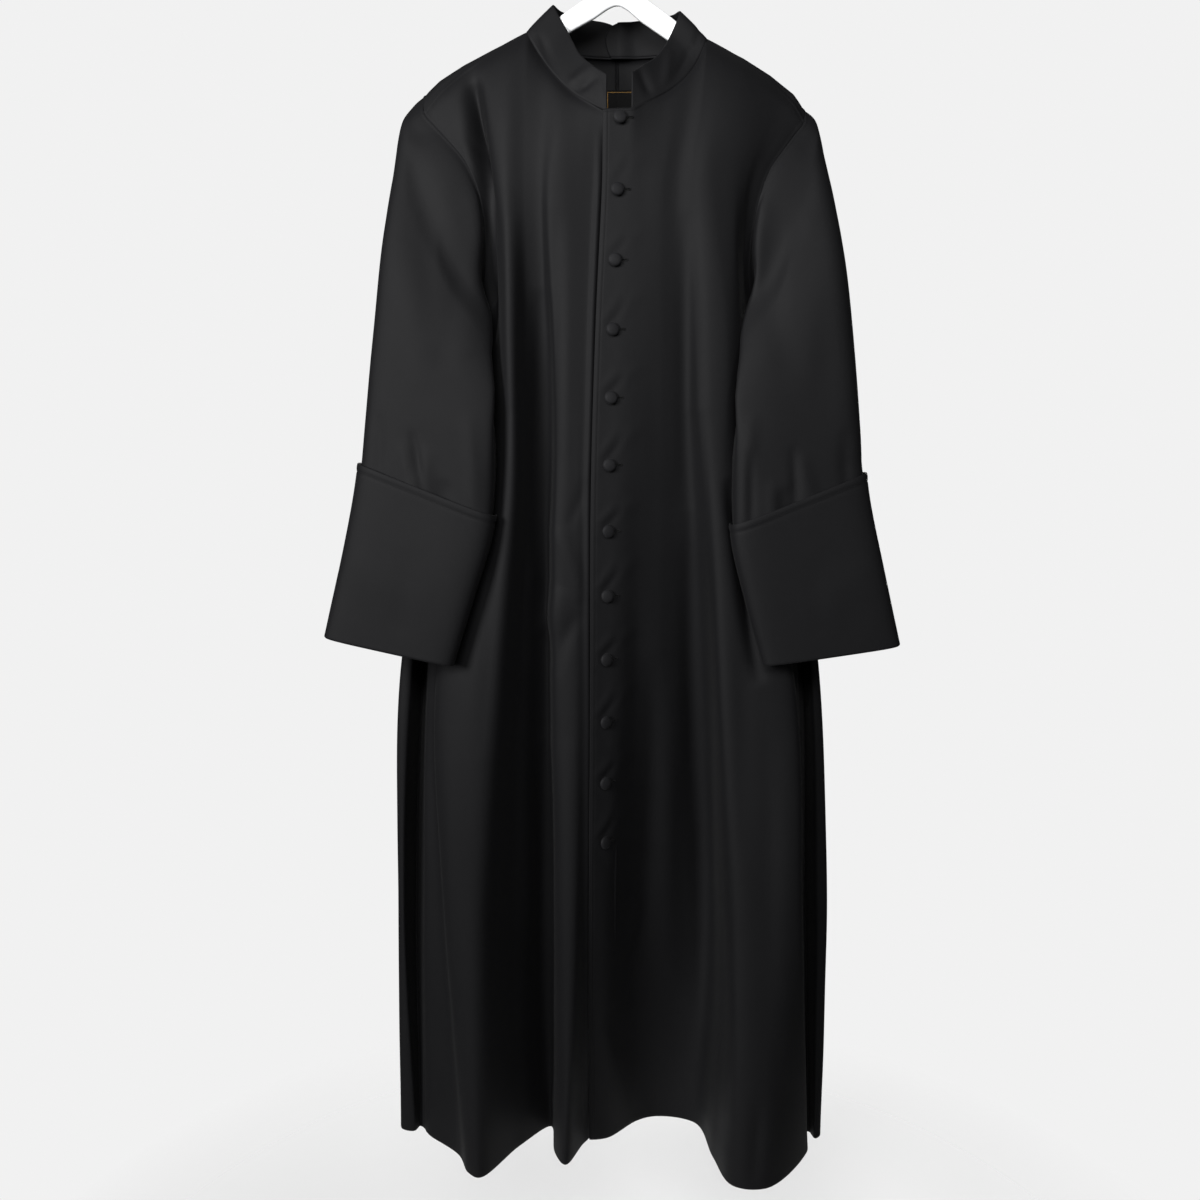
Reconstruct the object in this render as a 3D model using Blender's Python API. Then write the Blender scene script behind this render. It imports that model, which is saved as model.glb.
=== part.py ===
"""A black cassock hanging on a coat hanger, as separate cloth pieces at real size.

Blender 4.5, metres, +Z up. The front of the garment faces -Y and +X is the viewer's right.
The origin is the point inside the top of the hanger's hook where a rail carries it.
Left and right in names are the wearer's, so a left piece lies at +X.

Every cloth piece is a sheet: a grid of points on the middle of the cloth, given a wall.
A body panel runs through fold lines. Each fold line is a row of a table below, which says
where the line lies across the body (x) and how far forward or back (y) at each level.
"""

import math

import bmesh
import bpy
import numpy as np
from mathutils import Matrix, Vector

MM = 0.001  # every size below is in millimetres

WALL = 1.6  # thickness of the cloth's wall
COLLAR_WALL = 2.6  # the band is stiffened, so it is thicker
SEAM_TRIM = 0.25  # each piece stops this far short of a seam that lies flat
COLLAR_TRIM = 1.9  # the collar's, which meets the neckline at an angle
ARMHOLE_TRIM = 2.3  # the sleeve's, at the armhole
CENTRE_BACK_TRIM = 0.8
SHOULDER_TRIM = 0.6
SLEEVE_COLUMNS = 28
NECK_CORNER = 5  # the entry of NECKLINE where the shoulder seam starts

LEVELS = (-300, -450, -650, -900, -1200, -1530)  # below the rail; the last is the hem

# Fold lines of the two fronts, from the front edge to the side: x, y at each of LEVELS.
RIGHT_FRONT_FOLDS = {
    "under_edge": ((17, -53), (10, -56), (5, -57), (2, -53), (-1, -28), (-1, 5)),
    "at_edge": ((-20, -54), (-27, -57), (-33, -58), (-34, -54), (-36, -42), (-37, -20)),
    "roll_crest": ((-50, -56), (-51, -60), (-54, -64), (-60, -69), (-64, -72), (-72, -76)),
    "roll_side": ((-79, -54), (-81, -58), (-81, -58), (-84, -56), (-84, -52), (-84, -48)),
    "trough": ((-91, -50), (-91, -46), (-92, -36), (-98, -24), (-100, -12), (-92, 5)),
    "flank": ((-108, -49), (-110, -47), (-115, -44), (-134, -40), (-148, -36), (-134, -40)),
    "side_crest": ((-131, -48), (-131, -50), (-136, -54), (-160, -66), (-186, -80), (-178, -102)),
    "side_edge": ((-145, -42), (-142, -38), (-166, -30), (-229, -44), (-224, -64), (-195, -92)),
    "recess": ((-152, -38), (-151, -23), (-190, -10), (-232, -18), (-232, -30), (-208, -57)),
    "lip": ((-158, -33), (-160, -9), (-203, 2), (-239, -2), (-250, -8), (-251, -14)),
}
LEFT_FRONT_FOLDS = {
    "edge": ((-18, -57), (-25, -60), (-31, -61), (-32, -57), (-34, -46), (-35, -24)),
    "button_strip": ((14, -58), (10, -61), (5, -62), (2, -58), (-12, -40), (-14, -11)),
    "valley_side": ((31, -57), (30, -60), (27, -60), (28, -50), (26, -16), (30, 21)),
    "valley_floor": ((50, -56), (49, -59), (48, -59), (48, -50), (51, -11), (58, 31)),
    "valley_end": ((69, -53), (71, -54), (76, -50), (79, -38), (103, -8), (108, 12)),
    "crest_side": ((85, -55), (87, -58), (92, -60), (102, -60), (121, -52), (134, -62)),
    "crest": ((98, -56), (102, -60), (108, -65), (118, -76), (147, -92), (160, -120)),
    "plateau": ((112, -53), (117, -55), (126, -57), (172, -70), (190, -90), (190, -124)),
    "side_edge": ((134, -44), (134, -38), (156, -30), (214, -44), (227, -60), (252, -44)),
    "recess": ((146, -40), (147, -23), (182, -10), (221, -18), (230, -26), (256, -36)),
    "lip": ((156, -34), (157, -9), (195, 2), (230, -2), (239, -8), (256, -22)),
}
# Fold lines of the two backs, from the side to the centre back.
RIGHT_BACK_FOLDS = {
    "pleat_bottom": ((-193, 33), (-172, 12), (-220, 29), (-254, 44), (-270, 42), (-268, 22)),
    "pleat_inner": ((-190, 35), (-178, 21), (-229, 24), (-264, 4), (-281, 2), (-274, -3)),
    "pleat_outer": ((-182, 37), (-185, 32), (-236, 30), (-277, 7), (-288, 8), (-292, 3)),
    "side_ridge": ((-168, 39), (-176, 44), (-228, 48), (-268, 50), (-280, 54), (-284, 58)),
    "side_trough": ((-138, 42), (-140, 48), (-178, 52), (-212, 54), (-220, 54), (-226, 54)),
    "ridge": ((-104, 47), (-106, 54), (-128, 62), (-152, 70), (-158, 80), (-164, 90)),
    "trough": ((-66, 49), (-66, 53), (-78, 56), (-92, 55), (-96, 55), (-100, 56)),
    "inner_ridge": ((-32, 51), (-32, 56), (-36, 63), (-42, 69), (-46, 78), (-48, 87)),
    "centre_back": ((0, 52), (-2, 56), (-4, 59), (-6, 61), (-8, 64), (-8, 68)),
}
LEFT_BACK_FOLDS = {
    "pleat_bottom": ((191, 33), (170, 12), (211, 29), (246, 44), (257, 42), (263, 14)),
    "pleat_inner": ((188, 35), (176, 21), (220, 24), (251, 4), (266, 2), (269, -20)),
    "pleat_outer": ((180, 37), (183, 32), (226, 31), (260, 7), (278, 4), (277, -13)),
    "side_ridge": ((166, 39), (174, 44), (216, 48), (254, 50), (270, 52), (268, 46)),
    "side_trough": ((136, 42), (138, 48), (170, 52), (200, 54), (212, 54), (210, 54)),
    "ridge": ((100, 47), (102, 54), (122, 62), (142, 71), (150, 82), (148, 92)),
    "trough": ((66, 49), (64, 53), (72, 56), (84, 55), (88, 55), (84, 56)),
    "inner_ridge": ((32, 51), (30, 56), (30, 62), (32, 68), (34, 76), (36, 86)),
    "centre_back": ((0, 52), (-2, 56), (-4, 59), (-6, 61), (-8, 64), (-8, 68)),
}

# The neckline from the collar's front end (entry 0) round to the centre back, for each side.
NECKLINE = {
    "right": {
        "x": (-14, -34, -56, -72, -88, -106, -94, -68, -36, 0),
        "y": (-55, -48, -37, -28, -17, -5, 18, 34, 43, 46),
        "z": (-221, -210, -194, -177, -155, -123, -129, -135, -138, -139),
    },
    "left": {
        "x": (16, 34, 56, 73, 89, 103, 92, 67, 36, 0),
        "y": (-55, -48, -37, -28, -17, -5, 18, 34, 43, 46),
        "z": (-219, -209, -196, -182, -162, -130, -133, -137, -138, -139),
    },
}
# Where each front's top edge starts, beyond the collar's end, at the lap of the two fronts.
LAP_START = {"right": (17, -52, -221), "left": (-17, -58, -221)}
LAP_END = {"right": (-14, -54, -221), "left": (16, -58, -220)}

# The ridge of the shoulder over the hanger's arm, from the neck outwards.
RIDGE = {
    "right": {"x": (-106, -150, -180, -210, -229), "z": (-122, -143, -158, -176, -193)},
    "left": {"x": (103, 148, 180, 208, 221), "z": (-129, -151, -170, -191, -208)},
}
# The armhole, from the top of the shoulder down the front, and down the back, to the underarm.
# The second entry of a front is the end of the shoulder seam.
ARMHOLE_FRONT = {
    "right": {
        "x": (-229, -229, -214, -200, -177, -161, -158, -168),
        "y": (0, -11, -17, -22, -27, -29, -20, 4),
        "z": (-193, -213, -231, -246, -275, -320, -385, -450),
    },
    "left": {
        "x": (221, 221, 208, 196, 178, 164, 158, 166),
        "y": (0, -9, -15, -20, -25, -28, -20, 4),
        "z": (-208, -223, -240, -256, -282, -326, -390, -450),
    },
}
ARMHOLE_BACK = {
    "right": {
        "x": (-229, -226, -216, -207, -197, -190, -180, -168),
        "y": (0, 10, 18, 24, 28, 25, 15, 4),
        "z": (-193, -208, -228, -250, -290, -335, -390, -450),
    },
    "left": {
        "x": (221, 218, 212, 204, 195, 188, 178, 166),
        "y": (0, 9, 17, 23, 28, 25, 15, 4),
        "z": (-208, -220, -238, -258, -296, -340, -392, -450),
    },
}
SIDE_SEAM = {
    "right": {"x": (-168, -212, -244, -256, -262), "y": (4, 18, 20, 16, 4)},
    "left": {"x": (166, 204, 236, 246, 258), "y": (4, 18, 20, 16, -4)},
}

# Sections of the sleeves below the armhole, down to the wrist: the inner and outer ends of each
# section and its half depth in front. The first ones slant, as the armhole does. fold_in is how far
# the front of the sleeve hangs in over the armhole, and clear_back how far its back keeps out.
SLEEVE = {
    "right": {
        "x_in": (-171, -163, -152, -146, -147, -153, -176, -198),
        "y_in": (-14, -30, -45, -58, -66, -73, -79, -84),
        "z_in": (-476, -512, -552, -600, -650, -702, -780, -851),
        "x_out": (-256, -268, -279, -292, -303, -313, -333, -354),
        "y_out": (-1, -4, -9, -19, -28, -36, -45, -53),
        "z_out": (-224, -290, -370, -480, -575, -650, -740, -822),
        "half_depth": (30, 34, 35, 33, 30, 27, 24, 21),
        "fold_in": (27, 24, 18, 7, 0, 0, 0, 0),
        "clear_back": (10, 9, 9, 4, 0, 0, 0, 0),
    },
    "left": {
        "x_in": (169, 159, 146, 139, 138, 141, 158, 176),
        "y_in": (-14, -30, -45, -58, -66, -73, -79, -84),
        "z_in": (-476, -514, -556, -606, -659, -714, -786, -851),
        "x_out": (240, 251, 263, 277, 290, 301, 322, 343),
        "y_out": (-1, -4, -9, -19, -28, -36, -45, -53),
        "z_out": (-238, -300, -378, -488, -585, -662, -752, -832),
        "half_depth": (30, 34, 35, 33, 30, 27, 24, 21),
        "fold_in": (27, 24, 18, 7, 0, 0, 0, 0),
        "clear_back": (10, 9, 9, 4, 0, 0, 0, 0),
    },
}
SLEEVE_SQUARE = 0.75  # 1 gives oval sections, and less gives squarer ones
SLEEVE_BACK_DEPTH = 0.6  # the sleeve's back is this much flatter than its front
# The roll of cloth round the armhole: outwards at the top, forwards, backwards, down at the
# underarm, and outwards behind and below it.
SLEEVE_HEAD = {"out": 13, "forward": 12, "back": 7, "down": 9, "out_behind": 10, "out_below": 6}
CUFF_TOP_STATION = 6.65  # the cuff's top edge, counted in the sleeve's sections with the armhole as 0
CUFF_LENGTH_BEYOND = 11  # from the sleeve's end to the fold at the cuff's lower edge
CUFF_STAND_OFF = 3.6  # between the middles of the two walls
CUFF_FLARE = 1.2  # further out at its top edge
CUFF_ROWS = 6

COLLAR_HEIGHTS = (0, 0.4, 0.75, 1)  # rows of the band, as shares of its height
# How the band's top edge lies from the neckline, at each entry of NECKLINE: inwards, back, up.
COLLAR_TOP = {
    "in": (0, 5, 12, 20, 27, 30, 26, 17, 8, 0),
    "back": (6, 8, 9, 9, 8, 4, -4, -7, -6, -5),
    "up": (40, 40, 39, 37, 34, 30, 34, 38, 39, 38),
}
COLLAR_LAP = 9  # the left half laps this far over the right half at the centre back
COLLAR_LAP_STEP = 4  # and lies this far in front of it there

BUTTON_COUNT = 12
FIRST_BUTTON_Z = -229
BUTTON_PITCH = 79
BUTTON_RADIUS = 7.9
BUTTON_HEIGHT = 4.8
BUTTON_STAND_OFF = 0.7
BUTTON_SIDES = 16
# The line of the buttons down the front.
BUTTON_LINE = {"z": (-221, -450, -650, -900, -1200), "x": (2, -6, -11, -15, -17)}

# The hanger's arms: the upper and lower edge at each x, outwards from the middle.
HANGER_ARM = {
    "right": {
        "x": (0, -30, -60, -105, -150, -185, -206),
        "top": (-64, -80, -99, -128, -150, -167, -180),
        "bottom": (-93, -108, -124, -151, -172, -188, -196),
    },
    "left": {
        "x": (0, 30, 61, 103, 148, 180, 202),
        "top": (-64, -83, -104, -136, -158, -177, -194),
        "bottom": (-93, -112, -132, -158, -180, -197, -208),
    },
}
HANGER_THICKNESS = 9
HANGER_ROUNDING = 4
HOOK_WIRE = 3.8
HOOK_INNER_RADIUS = 19
HOOK_NECK_Z = -44  # where the hook's bend reaches the upright
HOOK_FOOT_Z = -61  # the foot of the upright, above the hanger
HOOK_BEND_DEGREES = (-60, 205)  # from the upright round to the open end
HOOK_POINTS = 15
HOOK_SIDES = 10

# Two rows of a front between its top edge and the first level. Each lies at a share of that way,
# given for x, y and z: the chest stands forward sooner than it falls.
FRONT_NEAR_TOP = (0.12, 0.40, 0.14)
FRONT_MIDDLE = (0.42, 0.80, 0.48)
FRONT_ROWS = np.concatenate([(0, 0.45, 1, 1.5, 2, 2.5), np.linspace(3, 8, 14)])
# The back's rows over the shoulder: how they lie from the neckline, and from the ridge outwards.
BACK_CROWN_AT_NECK = (0, 3, -4)
BACK_CROWN_Y = 1
BACK_BEHIND_AT_NECK = (0, 5, -13)
BACK_BEHIND_Y = 12
BACK_BEHIND_DROP = 12
BACK_MIDDLE = (0.45, 0.6, 0.45)
BACK_ROWS = np.concatenate([(0, 0.5, 1, 1.5, 2, 2.5, 3, 3.5), np.linspace(4, 9, 14)])
SLEEVE_ROWS = np.concatenate([(0, 0.5, 1, 1.5), np.linspace(2, 9, 10)])
SIDE_PULL = 6  # how close to the side a panel is drawn on to its seam: higher is closer
COLLAR_COLUMNS = 19

PLEAT_ROUNDING = (-0.17, 0.17)  # the columns that round the bottom of a side pleat, in fold lines
FINE_STEPS = 16  # close points between two points of a curve that others follow

LABEL = {"x": 8, "top": -174, "width": 44, "height": 27, "wall": 1.0}


# ---------------------------------------------------------------- curves


def spline(points, stations):
    """The smooth curve through points, read at stations counted in points, such as 2.5.

    points has the shape (count, ..., 3), so a whole grid of columns is read at once. The tangent at
    each point weighs the chords on both sides by the root of their lengths, so it never loops.
    """
    points = np.asarray(points, float)
    chord = np.diff(points, axis=0)
    step = np.sqrt(np.maximum(np.linalg.norm(chord, axis=-1, keepdims=True), 0.01))
    rate = chord / step
    share = step[:-1] / (step[:-1] + step[1:])
    inner = (1 - share) * rate[:-1] + share * rate[1:]
    tangent = np.concatenate([rate[:1], inner, rate[-1:]])
    low = np.clip(np.floor(stations).astype(int), 0, len(points) - 2)
    t = (np.asarray(stations, float) - low).reshape((-1,) + (1,) * (points.ndim - 1))
    span = step[low]
    return (
        (1 + 2 * t) * (1 - t) ** 2 * points[low]
        + t * (1 - t) ** 2 * span * tangent[low]
        + t * t * (3 - 2 * t) * points[low + 1]
        - t * t * (1 - t) * span * tangent[low + 1]
    )


def table_points(table):
    """The points of a table with x, y and z columns."""
    return np.column_stack([table["x"], table["y"], table["z"]]).astype(float)


def fine_line(points):
    """The smooth curve through points, as many close points."""
    return spline(points, np.linspace(0, len(points) - 1, FINE_STEPS * (len(points) - 1) + 1))


def read_down(line, z):
    """The points of a falling line at the heights z."""
    x, y = (np.interp(-z, -line[:, 2], line[:, axis]) for axis in (0, 1))
    return np.column_stack([x, y, z])


def even_lengths(line, count):
    """Points spaced evenly along a line of close points."""
    run = np.concatenate([[0], np.cumsum(np.linalg.norm(np.diff(line, axis=0), axis=1))])
    wanted = np.linspace(0, run[-1], count)
    return np.column_stack([np.interp(wanted, run, line[:, axis]) for axis in range(3)])


# ---------------------------------------------------------------- the body's panels


def ridge_height(side, x):
    """The height of the shoulder's ridge at x."""
    table = RIDGE[side]
    order = np.argsort(table["x"])
    return np.interp(x, np.array(table["x"], float)[order], np.array(table["z"], float)[order])


def shoulder_seam(side, share):
    """The seam at shares of its way from the neck to the armhole; it lies in front of the ridge."""
    start = table_points(NECKLINE[side])[NECK_CORNER]
    end = table_points(ARMHOLE_FRONT[side])[1]
    line = start + share[:, None] * (end - start)
    below = (1 - share**2) * (ridge_height(side, start[0]) - start[2])
    below += share**2 * (ridge_height(side, end[0]) - end[2])
    line[:, 2] = ridge_height(side, line[:, 0]) - below
    return line


def side_line(side, armhole):
    """One falling edge as close points: an armhole to the underarm, then the side seam to the hem."""
    seam = SIDE_SEAM[side]
    lower = np.column_stack([seam["x"], seam["y"], LEVELS[1:]]).astype(float)
    above = lower[:1] + (0, 0, LEVELS[0] - LEVELS[1])
    below_underarm = fine_line(np.concatenate([above, lower]))[FINE_STEPS + 1 :]
    return np.concatenate([fine_line(table_points(armhole[side])), below_underarm])


def level_points(folds, side_points):
    """The places of all fold lines and of the side edge at each level, as rows of points."""
    side = read_down(side_points, np.array(LEVELS, float))
    rows = [[(*line[i], level) for line in folds.values()] for i, level in enumerate(LEVELS)]
    return np.array(rows, float), side


def hang(control, stations, row_stations, side_edge, follow_from):
    """The grid of a panel from its control points, its side column held to the edge beside it.

    control has a row for the top edge and for each level, and a column for each station. The last
    column is the side: from row follow_from on, it is moved on to the edge's own curve.
    """
    grid = spline(control, row_stations)
    wanted = grid[:, -1].copy()
    wanted[follow_from:] = read_down(side_edge, grid[follow_from:, -1, 2])
    share = (stations / stations[-1]) ** SIDE_PULL
    return grid + (wanted - grid[:, -1])[:, None, :] * share[None, :, None]


def front_panel(side, folds, neck_folds):
    """The middle surface of a front, from its edge at the lap to the side."""
    last = len(folds)
    stations = np.linspace(0, last, 2 * last + 1)
    corner = 1 + neck_folds
    lap = np.array(LAP_START[side]) + stations[:2, None] * np.subtract(LAP_END[side], LAP_START[side])
    on_neck = stations[(stations >= 1) & (stations <= corner)]
    neck = spline(table_points(NECKLINE[side])[: NECK_CORNER + 1], (on_neck - 1) * NECK_CORNER / neck_folds)
    neck[0] = LAP_END[side]
    seam = shoulder_seam(side, (stations[stations > corner] - corner) / (last - corner))
    top = np.concatenate([lap, neck, seam])
    edge = side_line(side, ARMHOLE_FRONT)
    places, side_places = level_points(folds, edge)
    places = np.concatenate([places, side_places[:, None]], axis=1)
    levels = [spline(row, stations) for row in places]
    near = top + (levels[0] - top) * FRONT_NEAR_TOP
    middle = top + (levels[0] - top) * FRONT_MIDDLE
    near[-1] = read_down(edge, near[-1:, 2])[0]
    middle[-1] = read_down(edge, middle[-1:, 2])[0]
    control = np.array([top, near, middle, *levels])
    return hang(control, stations, FRONT_ROWS, edge, 0)


def back_panel(side, folds, neck_folds):
    """The middle surface of a back, from the centre back to the side, over the shoulder's ridge."""
    last = len(folds)
    stations = np.linspace(0, last, 2 * last + 1)
    pleat_bottom = last - 1
    rounding = pleat_bottom + np.array(PLEAT_ROUNDING)
    stations = np.sort(np.append(stations[stations != pleat_bottom], rounding))
    neckline = table_points(NECKLINE[side])[: NECK_CORNER - 1 : -1]
    on_neck = stations[stations <= neck_folds]
    neck = spline(neckline, on_neck * (len(neckline) - 1) / neck_folds)
    seam = shoulder_seam(side, (stations[stations > neck_folds] - neck_folds) / (last - neck_folds))
    top = np.concatenate([neck, seam])
    corner = len(neck) - 1
    crown = top.copy()
    crown[:corner] += BACK_CROWN_AT_NECK
    crown[corner:, 1] = BACK_CROWN_Y
    crown[corner:, 2] = ridge_height(side, top[corner:, 0])
    behind = top.copy()
    behind[:corner] += BACK_BEHIND_AT_NECK
    behind[corner:, 1] = BACK_BEHIND_Y
    behind[corner:, 2] = crown[corner:, 2] - BACK_BEHIND_DROP
    edge = side_line(side, ARMHOLE_BACK)
    places, side_places = level_points(folds, edge)
    places = np.concatenate([places[:, ::-1], side_places[:, None]], axis=1)
    levels = [spline(row, stations) for row in places]
    crown[-1] = edge[0]
    behind[-1] = read_down(edge, behind[-1:, 2])[0]
    middle = behind + (levels[0] - behind) * BACK_MIDDLE
    middle[-1] = read_down(edge, middle[-1:, 2])[0]
    control = np.array([top, crown, behind, middle, *levels])
    return hang(control, stations, BACK_ROWS, edge, 2)


# ---------------------------------------------------------------- sleeves and cuffs


def bump(turn, centre_degrees, half_width_degrees=65):
    """A smooth rise to 1 round one place of a ring, and 0 away from it."""
    away = (turn - math.radians(centre_degrees)) / math.radians(half_width_degrees)
    return np.where(np.abs(away) < 1, np.cos(away * math.pi / 2) ** 2, 0)


def sleeve_rings(side, columns):
    """Closed rings down the sleeve: the armhole, the roll round it, then flattened sections.

    Each ring starts at its outer end and runs over the front to the inner end, then round the back.
    """
    half = columns // 2
    front = even_lengths(fine_line(table_points(ARMHOLE_FRONT[side])), half + 1)
    back = even_lengths(fine_line(table_points(ARMHOLE_BACK[side])), half + 1)
    armhole = np.concatenate([front, back[-2:0:-1]])
    turn = np.linspace(0, 2 * np.pi, columns, endpoint=False)
    outward = np.sign(armhole[0, 0])
    square_cos = np.sign(np.cos(turn)) * np.abs(np.cos(turn)) ** SLEEVE_SQUARE
    square_sin = np.sign(np.sin(turn)) * np.abs(np.sin(turn)) ** SLEEVE_SQUARE
    in_front = square_sin > 0
    front_fold = bump(turn, 125, 50)
    head = SLEEVE_HEAD
    across = head["out"] * np.maximum(square_cos, 0) + 3 * np.abs(square_sin)
    across += head["out_behind"] * bump(turn, 220) + head["out_below"] * bump(turn, 175)
    forward = np.where(in_front, head["forward"] * square_sin, -head["back"] * bump(turn, 290))
    down = head["down"] * np.maximum(-square_cos, 0) ** 2 + 3 * np.maximum(square_cos, 0)
    rings = [armhole, armhole + np.column_stack([outward * across, -forward, -down])]
    table = SLEEVE[side]
    for index, depth in enumerate(table["half_depth"]):
        inner = np.array([table[key][index] for key in ("x_in", "y_in", "z_in")], float)
        outer = np.array([table[key][index] for key in ("x_out", "y_out", "z_out")], float)
        ring = (inner + outer) / 2 + square_cos[:, None] * (outer - inner) / 2
        ring[:, 1] -= square_sin * np.where(in_front, depth, depth * SLEEVE_BACK_DEPTH)
        ring[:, 0] -= outward * table["fold_in"][index] * front_fold
        ring[:, 0] += outward * table["clear_back"][index] * bump(turn, 220)
        rings.append(ring)
    return np.array(rings)


def cuff_grid(rings):
    """The turned-back cuff: from the sleeve's end down inside, round a fold, and up outside."""
    end = len(rings) - 1
    outside = spline(rings, np.linspace(CUFF_TOP_STATION, end, CUFF_ROWS))
    outward = normals_of(outside, True) * np.sign(rings[-1][0, 0])
    down = outside[-1] - outside[-2]
    down /= np.linalg.norm(down, axis=1)[:, None]
    rows = [outside[-1] + down * share * CUFF_LENGTH_BEYOND for share in (0.05, 0.5, 0.85)]
    radius = CUFF_STAND_OFF / 2
    for turn in np.radians((0, 60, 120, 180)):
        along = CUFF_LENGTH_BEYOND + radius * math.sin(turn)
        rows.append(outside[-1] + down * along + outward[-1] * radius * (1 - math.cos(turn)))
    stand_off = CUFF_STAND_OFF + CUFF_FLARE * np.linspace(1, 0, CUFF_ROWS)
    rows.extend((outside + outward * stand_off[:, None, None])[::-1])
    return np.array(rows)


# ---------------------------------------------------------------- the collar


def collar_half(side, columns):
    """Half of the standing band, from its front end to the centre back, leaning in over the neck."""
    base = table_points(NECKLINE[side])
    inward = -np.sign(base[:, 0]) * COLLAR_TOP["in"]
    lean = np.column_stack([inward, COLLAR_TOP["back"], COLLAR_TOP["up"]])
    stations = np.linspace(0, len(base) - 1, columns)
    low, rise = spline(base, stations), spline(lean, stations)
    rows = [low + rise * (height, height, height**0.92) for height in COLLAR_HEIGHTS]
    grid = np.array(rows)
    if side == "left":
        lapped = grid[:, -1] - (COLLAR_LAP, 0.4, 0)
        grid = np.concatenate([grid, lapped[:, None]], axis=1)
        step = np.zeros(columns + 1)
        step[-2:] = 1
        grid[:, :, 1] -= step * COLLAR_LAP_STEP
    return grid


# ---------------------------------------------------------------- solids


def normals_of(grid, closed):
    """The direction across the cloth at every point of a grid."""
    down = np.gradient(grid, axis=0)
    if closed:
        across = np.roll(grid, -1, axis=1) - np.roll(grid, 1, axis=1)
    else:
        across = np.gradient(grid, axis=1)
    normal = np.cross(across, down)
    return normal / np.linalg.norm(normal, axis=2)[:, :, None]


def trim(grid, first_row=0, last_row=0, first_column=0, last_column=0):
    """Moves the edges of a grid inwards along the cloth by the given lengths."""
    grid = grid.copy()
    for amount, line, inner in (
        (first_row, grid[0], grid[1]),
        (last_row, grid[-1], grid[-2]),
        (first_column, grid[:, 0], grid[:, 1]),
        (last_column, grid[:, -1], grid[:, -2]),
    ):
        way = inner - line
        line += way * amount / np.linalg.norm(way, axis=1)[:, None]
    return grid


def trim_ring(grid, amount):
    """Moves the first ring of a tube inwards along the cloth."""
    grid = grid.copy()
    way = grid[1] - grid[0]
    grid[0] += way * amount / np.linalg.norm(way, axis=1)[:, None]
    return grid


def sheet(name, grid, wall, material, closed=False):
    """A closed solid: the two faces of a wall on both sides of the grid, joined round the edges."""
    normal = normals_of(grid, closed)
    rows, columns = grid.shape[:2]
    mesh = bmesh.new()
    faces = []
    for offset in (wall / 2, -wall / 2):
        skin = grid + normal * offset
        faces.append([[mesh.verts.new(Vector(point) * MM) for point in row] for row in skin])
    outer, inner = faces
    last = columns if closed else columns - 1
    for r in range(rows - 1):
        for c in range(last):
            d = (c + 1) % columns
            mesh.faces.new((outer[r][c], outer[r][d], outer[r + 1][d], outer[r + 1][c]))
            mesh.faces.new((inner[r][c], inner[r + 1][c], inner[r + 1][d], inner[r][d]))
    for r in (0, rows - 1):
        for c in range(last):
            d = (c + 1) % columns
            mesh.faces.new((outer[r][c], inner[r][c], inner[r][d], outer[r][d]))
    if not closed:
        for c in (0, columns - 1):
            for r in range(rows - 1):
                mesh.faces.new((outer[r][c], inner[r][c], inner[r + 1][c], outer[r + 1][c]))
    return link(name, mesh, material)


def link(name, mesh, material):
    """Puts a bmesh into the scene as a named object with outward faces and its material."""
    bmesh.ops.recalc_face_normals(mesh, faces=mesh.faces)
    data = bpy.data.meshes.new(name)
    mesh.to_mesh(data)
    mesh.free()
    data.materials.append(material)
    data.shade_smooth()
    data.set_sharp_from_angle(angle=math.radians(50))
    made = bpy.data.objects.new(name, data)
    bpy.context.scene.collection.objects.link(made)
    return made


def make_material(name, colour, roughness, metallic=0.0):
    """A Principled material."""
    made = bpy.data.materials.new(name)
    made.use_nodes = True
    shader = made.node_tree.nodes["Principled BSDF"]
    shader.inputs["Base Color"].default_value = (*colour, 1)
    shader.inputs["Roughness"].default_value = roughness
    shader.inputs["Metallic"].default_value = metallic
    return made


def depth_at(grid, x, z):
    """The y of a panel's middle surface at a place of its front view."""
    heights, depths = [], []
    for row in grid:
        order = np.argsort(row[:, 0])
        heights.append(np.interp(x, row[order, 0], row[order, 2]))
        depths.append(np.interp(x, row[order, 0], row[order, 1]))
    return float(np.interp(-z, -np.array(heights), depths))


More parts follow.
